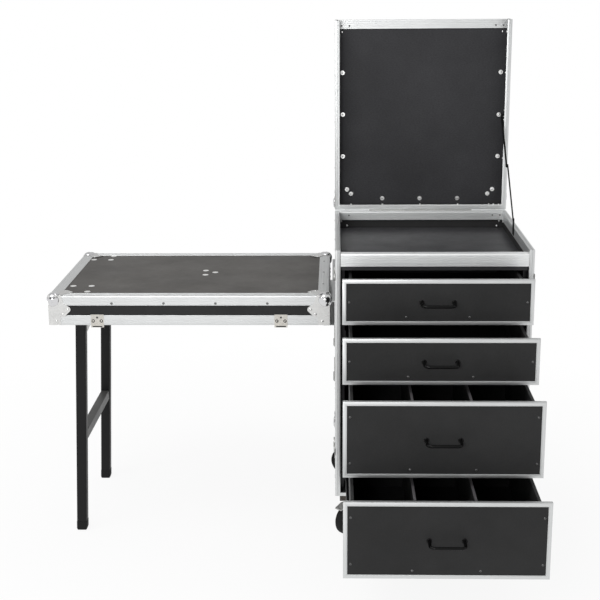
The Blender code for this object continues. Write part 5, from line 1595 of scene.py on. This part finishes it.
@dataclass
class Castor:
    """One castor: fork with axle, and wheel."""

    place: str
    x: float
    y: float
    turn: float
    wheel_radius: float = 0.050
    half_tread: float = 0.015
    trail: float = 0.030
    crown: float = 0.1137
    fork_inner: float = 0.017
    fork_wall: float = 0.003
    fork_half: float = 0.023
    eye: float = 0.0095

    def build(self) -> None:
        """Build the castor's pieces."""
        axle = Vector((self.x + self.trail, self.y, self.wheel_radius))
        self.build_fork(axle)
        self.build_wheel(axle)

    def finish(self, piece: Workpiece, name: str, body: str, finishes: Sequence[Finish]) -> None:
        """Turn a piece about the swivel and finish it."""
        piece.turn((self.x, self.y, 0.0), math.radians(self.turn))
        piece.finish(f"{name}_{self.place}", f"{body}_{self.place}", finishes,
                     [f"castor_{body}_{self.place}"], 0.0004)

    def build_fork(self, axle: Vector) -> None:
        """Pressed fork with round eyes, axle bolt and nuts."""
        inner, wall, outer = self.fork_inner, self.fork_wall, self.fork_inner + self.fork_wall
        rear, front, crown = self.x - self.fork_half, self.x + self.fork_half, self.crown
        outline = [(rear, crown), (front, crown), (front, crown - 0.014),
                   *arc((axle.x, axle.z), self.eye, 20, -220, 6), (rear, crown - 0.022)]
        fork = Workpiece()
        for sign in (-1, 1):
            fork.loft([[(a, self.y + sign * level, z) for a, z in outline] for level in (inner, outer)])
        fork.box((rear, self.y - outer + 0.0002, crown - wall),
                 (front, self.y + outer - 0.0002, crown - 0.0001))
        fork.disc((axle.x, self.y - outer - 0.003, axle.z), REAR, 0.005, 2 * (outer + 0.003), 16)
        for sign in (-1, 1):
            fork.disc((axle.x, self.y + sign * outer, axle.z), (0, sign, 0), 0.0075, 0.0045, 6,
                      chamfer=0.0006)
        self.finish(fork, "fork_pressed", "fork", [Finishes.ZINC])

    def build_wheel(self, axle: Vector) -> None:
        """Rubber tread on a moulded hub, each turned from one half of its outline."""
        radius, half = self.wheel_radius, self.half_tread
        tread = [(radius * 0.74, half), (radius * 0.93, half), (radius * 0.985, half - 0.003),
                 (radius, half - 0.006)]
        hub = [(0.0057, half), (0.012, half), (0.013, half - 0.004), (radius * 0.66, half - 0.006),
               (radius * 0.70, half - 0.001), (radius * 0.745, half - 0.001)]
        wheel = Workpiece()
        for paint, outline in enumerate((tread, hub)):
            wheel.turned(axle, REAR, [(r, -h) for r, h in outline] + outline[::-1], 48, paint)
        self.finish(wheel, "wheel_moulded", "wheel", [Finishes.RUBBER, Finishes.PLASTIC])


@dataclass
class SideFitting:
    """Sprung handles and turning latches on one side."""

    side: Side
    sizes: Sizes = SIZES
    bail_half: float = 0.052
    bail_drop: float = 0.042
    grip_half: float = 0.037
    plate: float = 0.0015

    def build(self) -> None:
        """Build the handles and latches of this side."""
        for place, y in zip(("front", "rear"), self.sizes.handle_places):
            self.build_handle(f"{self.side.word}_{place}", y)
        for place, z in zip(("lower", "upper"), self.sizes.latch_places):
            self.build_latch(f"{self.side.word}_{place}", z)

    def build_handle(self, place: str, y: float) -> None:
        """Bail with a ribbed rubber grip."""
        x, top = self.side.value * self.sizes.panel_outer, self.sizes.handle_z + self.sizes.handle_pivot
        low, high, near, far = top - self.bail_drop, top + 0.003, y - self.bail_half, y + self.bail_half
        bent_bar(f"bail_bar_{place}", f"bail_{place}",
                 [(x, near, high), (x, near, low), (x, far, low), (x, far, high)], 0.005, 0.012,
                 Finishes.ZINC, f"handle_bail_{place}")
        outline: Section = [(0.004, -self.grip_half), (0.0062, -self.grip_half)]
        for k in range(13):
            rib = -0.034 + k * 0.068 / 12
            outline += [(0.0072, rib - 0.0016), (0.0072, rib + 0.0012), (0.0066, rib + 0.0020)]
        outline += [(0.0062, self.grip_half), (0.004, self.grip_half)]
        grip = Workpiece()
        grip.turned((x, y, low), REAR, outline, 20)
        grip.finish(f"bail_grip_{place}", f"bail_{place}", [Finishes.RUBBER])

    def build_latch(self, place: str, z: float) -> None:
        """Butterfly wing on a round hub, with its hook."""
        sign, y, face = self.side.value, self.sizes.latch_y, self.sizes.panel_outer - 0.0075
        hook = self.sizes.half_width + self.sizes.gap
        wing = hook + self.plate
        outline = []
        for k in range(48):
            angle = 2 * math.pi * k / 48
            reach = 0.008 + 0.017 * abs(math.sin(angle)) ** 1.4
            outline.append((y + reach * math.cos(angle) * 1.15, z + reach * math.sin(angle)))
        latch = Workpiece()
        latch.loft([[(sign * out, a, b) for a, b in outline] for out in (wing - 0.0002, wing + 0.003)])
        latch.disc((sign * face, y, z), self.side.out, 0.007, wing + 0.0042 - face, chamfer=0.0008)
        latch.box((sign * hook, y - 0.071, z - 0.011), (sign * wing, y - 0.0035, z + 0.011))
        latch.finish(f"butterfly_latch_{place}", f"latch_{place}", [Finishes.ZINC],
                     [f"latch_wing_{place}"], 0.0004)


@dataclass
class LidStay:
    """The lid's folding stay: two flat arms that meet in a knee."""

    sizes: Sizes = SIZES
    half: float = 0.0058

    def build(self) -> None:
        """Build both arms, thicker than the frame's at the side that faces the tray."""
        lower, upper = Vector(self.sizes.stay_lower), Vector(self.sizes.stay_upper)
        knee = (lower + upper) / 2
        self.arm("stay_lower", lower, knee, 0.2796, 0.2826)
        self.arm("stay_upper", upper, knee, 0.2748, 0.2793)

    def arm(self, name: str, start: Vector, end: Vector, inner: float, outer: float) -> None:
        """Build one arm between two pivots, with round ends."""
        turn = math.degrees(math.atan2(end.y - start.y, end.x - start.x))
        piece = Workpiece()
        piece.prism("X", arc(start, self.half, turn + 90, 180, 8) + arc(end, self.half, turn - 90, 180, 8),
                    inner, outer)
        piece.finish(f"{name}_arm_bar", name, [Finishes.STAY], [f"{name}_arm"], 0.0004)


@dataclass
class BottomBoards:
    """Bottom panel, castor board, castor plates and swivel heads."""

    castors: Sequence[Castor]
    sizes: Sizes = SIZES
    plate: Pair = (0.085, 0.100)
    plate_z: Pair = (0.127, 0.1302)
    bolt_half: Pair = (0.033, 0.040)
    crown: float = 0.114

    def build(self) -> None:
        """Build the boards and the castors' fixed plates."""
        sizes = self.sizes
        inner, low = sizes.panel_inner - sizes.gap, sizes.bottom + sizes.panel_inset
        boards = Workpiece()
        boards.box((-inner, 0.0123, low), (inner, sizes.depth - 0.0111, low + sizes.panel), 1)
        boards.box((-0.2697, 0.0303, 0.139), (0.2697, 0.600, low + 0.0002))
        boards.box((-0.285, 0.015, 0.130), (0.285, 0.600, sizes.bottom - sizes.gap))
        # The plywood's near-black tone is painted shade.
        boards.finish("castor_board_plywood", "case", [Finishes.PLYWOOD, Finishes.LAMINATE],
                      ["bottom_boards"], 0.0006)
        plates = Workpiece()
        bolts = Fasteners("case", Finishes.ZINC, "castor_bolts")
        for castor in self.castors:
            plates.loft([[(castor.x + a, castor.y + b, z) for a, b in rounded_rectangle(*self.plate, 0.006)]
                         for z in self.plate_z])
            plates.turned((castor.x, castor.y, self.crown), UP,
                          [(0.002, 0.0), (0.022, 0.0), (0.028, 0.004), (0.028, 0.008), (0.024, 0.0132),
                           (0.002, 0.0132)], 32)
            bolts.several([(castor.x + u * self.bolt_half[0], castor.y + v * self.bolt_half[1],
                            self.plate_z[0]) for u, v in QUARTERS], DOWN, Screw.CASTOR_BOLT)
        plates.finish("castor_plates", "case", [Finishes.ZINC], ["bottom_boards"], 0.0004)
        bolts.make()


class FrameFinishes:
    """Finishes of the frame's nodes that keep their own shape."""

    NODES: ClassVar[dict[Finish, tuple[str, ...]]] = {
        Finishes.LAMINATE: ("rear_panel",),
        Finishes.TRAY: ("tray",),
        # The slide racks take the darkened slide steel: painted shade.
        Finishes.SLIDE: ("slide_rack_left", "slide_rack_right"),
        Finishes.ALUMINIUM_Y: ("hook_rail",),
        Finishes.STAY: ("stay_lower_bracket",),
        Finishes.ZINC: ("hinge_lower_leaf", "hinge_upper_leaf", "leg_bracket", "brake_pedal_front_left",
                        "brake_pedal_front_right"),
    }

    @classmethod
    def apply(cls, nodes: dict[str, bpy.types.Object]) -> None:
        """Give each shown node its finish."""
        for finish, names in cls.NODES.items():
            for name in names:
                for slot in nodes[name].material_slots:
                    slot.link = "OBJECT"
                    slot.material = finish.material()
                LOG.info("%s keeps its shape, in %s", name, finish.name)


@dataclass
class Studio:
    """Floor, lamps, white surroundings and the camera."""

    camera_place: tuple[float, float, float] = (-0.30378, -3.62497, 1.75099)
    yaw: float = math.radians(-1.63404)
    pitch: float = math.radians(14.72685)
    roll: float = math.radians(-0.42859)
    lens: float = 73.829
    floor_z: float = -0.0004
    white: tuple[float, float, float, float] = (1.0, 1.0, 1.0, 1.0)

    def build(self) -> None:
        """Build the studio."""
        self.build_floor()
        self.build_world()
        self.build_lamps()
        self.build_camera()
        bpy.context.scene.view_settings.view_transform = "Standard"

    @staticmethod
    def blank(owner: bpy.types.Material | bpy.types.World) -> TreeKit:
        """The owner's shader tree, with nothing in it."""
        owner.use_nodes = True
        owner.node_tree.nodes.clear()
        return TreeKit(owner.node_tree)

    @staticmethod
    def seen(shader: TreeKit) -> tuple[Socket, Socket]:
        """Masks of camera rays, and of camera, glossy and clear rays together."""
        rays = shader.node("ShaderNodeLightPath").outputs
        clear = shader.math("MAXIMUM", rays["Is Glossy Ray"], rays["Is Transmission Ray"])
        return rays["Is Camera Ray"], shader.math("MAXIMUM", rays["Is Camera Ray"], clear)

    @staticmethod
    def put_out(shader: TreeKit, kind: str, share: Socket, first: Socket, second: Socket) -> None:
        """Mix two shaders into an output node."""
        shader.node(kind, Surface=shader.first("ShaderNodeMixShader", _0=share, _1=first, _2=second))

    def build_floor(self) -> None:
        """Pale floor that shows white to the camera and keeps the shadow."""
        data = bpy.data.meshes.new("studio_floor")
        data.from_pydata([(x, y, self.floor_z) for x, y in ((-9, -9), (9, -9), (9, 12), (-9, 12))], [],
                         [(0, 1, 2, 3)])
        floor = new_object("studio_floor", data)
        material = bpy.data.materials.new("studio_floor_paint")
        shader = self.blank(material)
        paint = shader.first("ShaderNodeBsdfDiffuse", Color=(0.88, 0.88, 0.88, 1.0))
        glow = shader.first("ShaderNodeEmission", Color=self.white, Strength=1.0)
        away = shader.node("ShaderNodeVectorMath", {"operation": "LENGTH"},
                           _0=shader.node("ShaderNodeTexCoord").outputs["Object"]).outputs["Value"]
        share = shader.math("MULTIPLY", self.seen(shader)[1], shader.between(away, 0.8, 2.2, 0.90, 1.0))
        self.put_out(shader, "ShaderNodeOutputMaterial", share, paint, glow)
        data.materials.append(material)

    def build_world(self) -> None:
        """White surroundings for camera and reflections, softer for the light on the case."""
        world = bpy.data.worlds.new("studio_world")
        bpy.context.scene.world = world
        shader = self.blank(world)
        camera, seen = self.seen(shader)
        soft = shader.first("ShaderNodeBackground", Color=self.white, Strength=0.66)
        ray = shader.node("ShaderNodeSeparateXYZ", None,
                          Vector=shader.node("ShaderNodeTexCoord").outputs["Generated"]).outputs
        back = shader.between(ray["Y"], -0.35, 0.55, 0.86, 0.66)
        front = shader.between(ray["Y"], -0.30, -0.50)
        band = shader.math("MULTIPLY", shader.between(ray["Z"], 0.10, 0.20),
                           shader.between(ray["Z"], 0.66, 0.56))
        dark = shader.math("MULTIPLY", shader.math("MULTIPLY", front, band), 0.66)
        white = shader.first("ShaderNodeBackground", Color=self.white, Strength=shader.math(
            "MAXIMUM", shader.math("SUBTRACT", back, dark), camera))
        self.put_out(shader, "ShaderNodeOutputWorld", seen, soft, white)

    def build_lamps(self) -> None:
        """Two large soft lamps that shine on the case."""
        target = Vector((0.0, 0.3, 0.8))
        for name, place, size, power in (("lamp_above", (-1.6, -1.4, 4.2), 2.4, 60.0),
                                         ("lamp_front", (-0.9, -4.6, 1.9), 1.3, 62.0)):
            light = bpy.data.lights.new(name, "AREA")
            light.size = size
            light.energy = power
            lamp = new_object(name, light)
            lamp.location = place
            lamp.rotation_euler = (target - Vector(place)).to_track_quat("-Z", "Y").to_euler()

    def build_camera(self) -> None:
        """Camera at the photograph's place."""
        data = bpy.data.cameras.new("camera")
        data.sensor_width = 36.0
        data.lens = self.lens
        camera = new_object("camera", data)
        forward = Vector((math.sin(self.yaw) * math.cos(self.pitch),
                          math.cos(self.yaw) * math.cos(self.pitch), -math.sin(self.pitch)))
        right = Vector((math.cos(self.yaw), -math.sin(self.yaw), 0.0))
        up = right.cross(forward)
        rolled_right = right * math.cos(self.roll) + up * math.sin(self.roll)
        rolled_up = up * math.cos(self.roll) - right * math.sin(self.roll)
        axes = Matrix((rolled_right, rolled_up, -forward)).transposed()
        camera.matrix_world = (Matrix.Translation(Vector(self.camera_place) + Workpiece.origin)
                               @ axes.to_4x4())
        bpy.context.scene.camera = camera


def case_origin(frame: dict[str, Any]) -> Vector:
    """Find the case's own origin in the frame, from the lid's hinge."""
    for joint in frame["record"]["behaviour"]["joints"]:
        if joint["name"] == "lid_hinge":
            return Vector((joint["pos_m"][0], joint["pos_m"][1] - SIZES.hinge_y, 0.0))
    raise ValueError("the frame has no lid_hinge")


def main() -> None:
    """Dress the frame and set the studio."""
    logging.basicConfig(level=logging.INFO, format="%(name)s: %(message)s")
    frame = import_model()
    Workpiece.origin = case_origin(frame)

    FrameFinishes.apply(frame["nodes"])
    castors = [Castor("front_left", -0.235, 0.075, 225), Castor("front_right", 0.235, 0.075, 250),
               Castor("rear_left", -0.235, 0.545, 160), Castor("rear_right", 0.235, 0.545, 70)]
    for assembly in (CaseBody(), BottomBoards(castors), *(Drawer(number) for number in range(1, 5)), Lid(),
                     Cover(), LegFrame(), *castors, *(SideFitting(side) for side in Side), LidStay(),
                     Studio()):
        assembly.build()


if __name__ == "__main__":
    main()
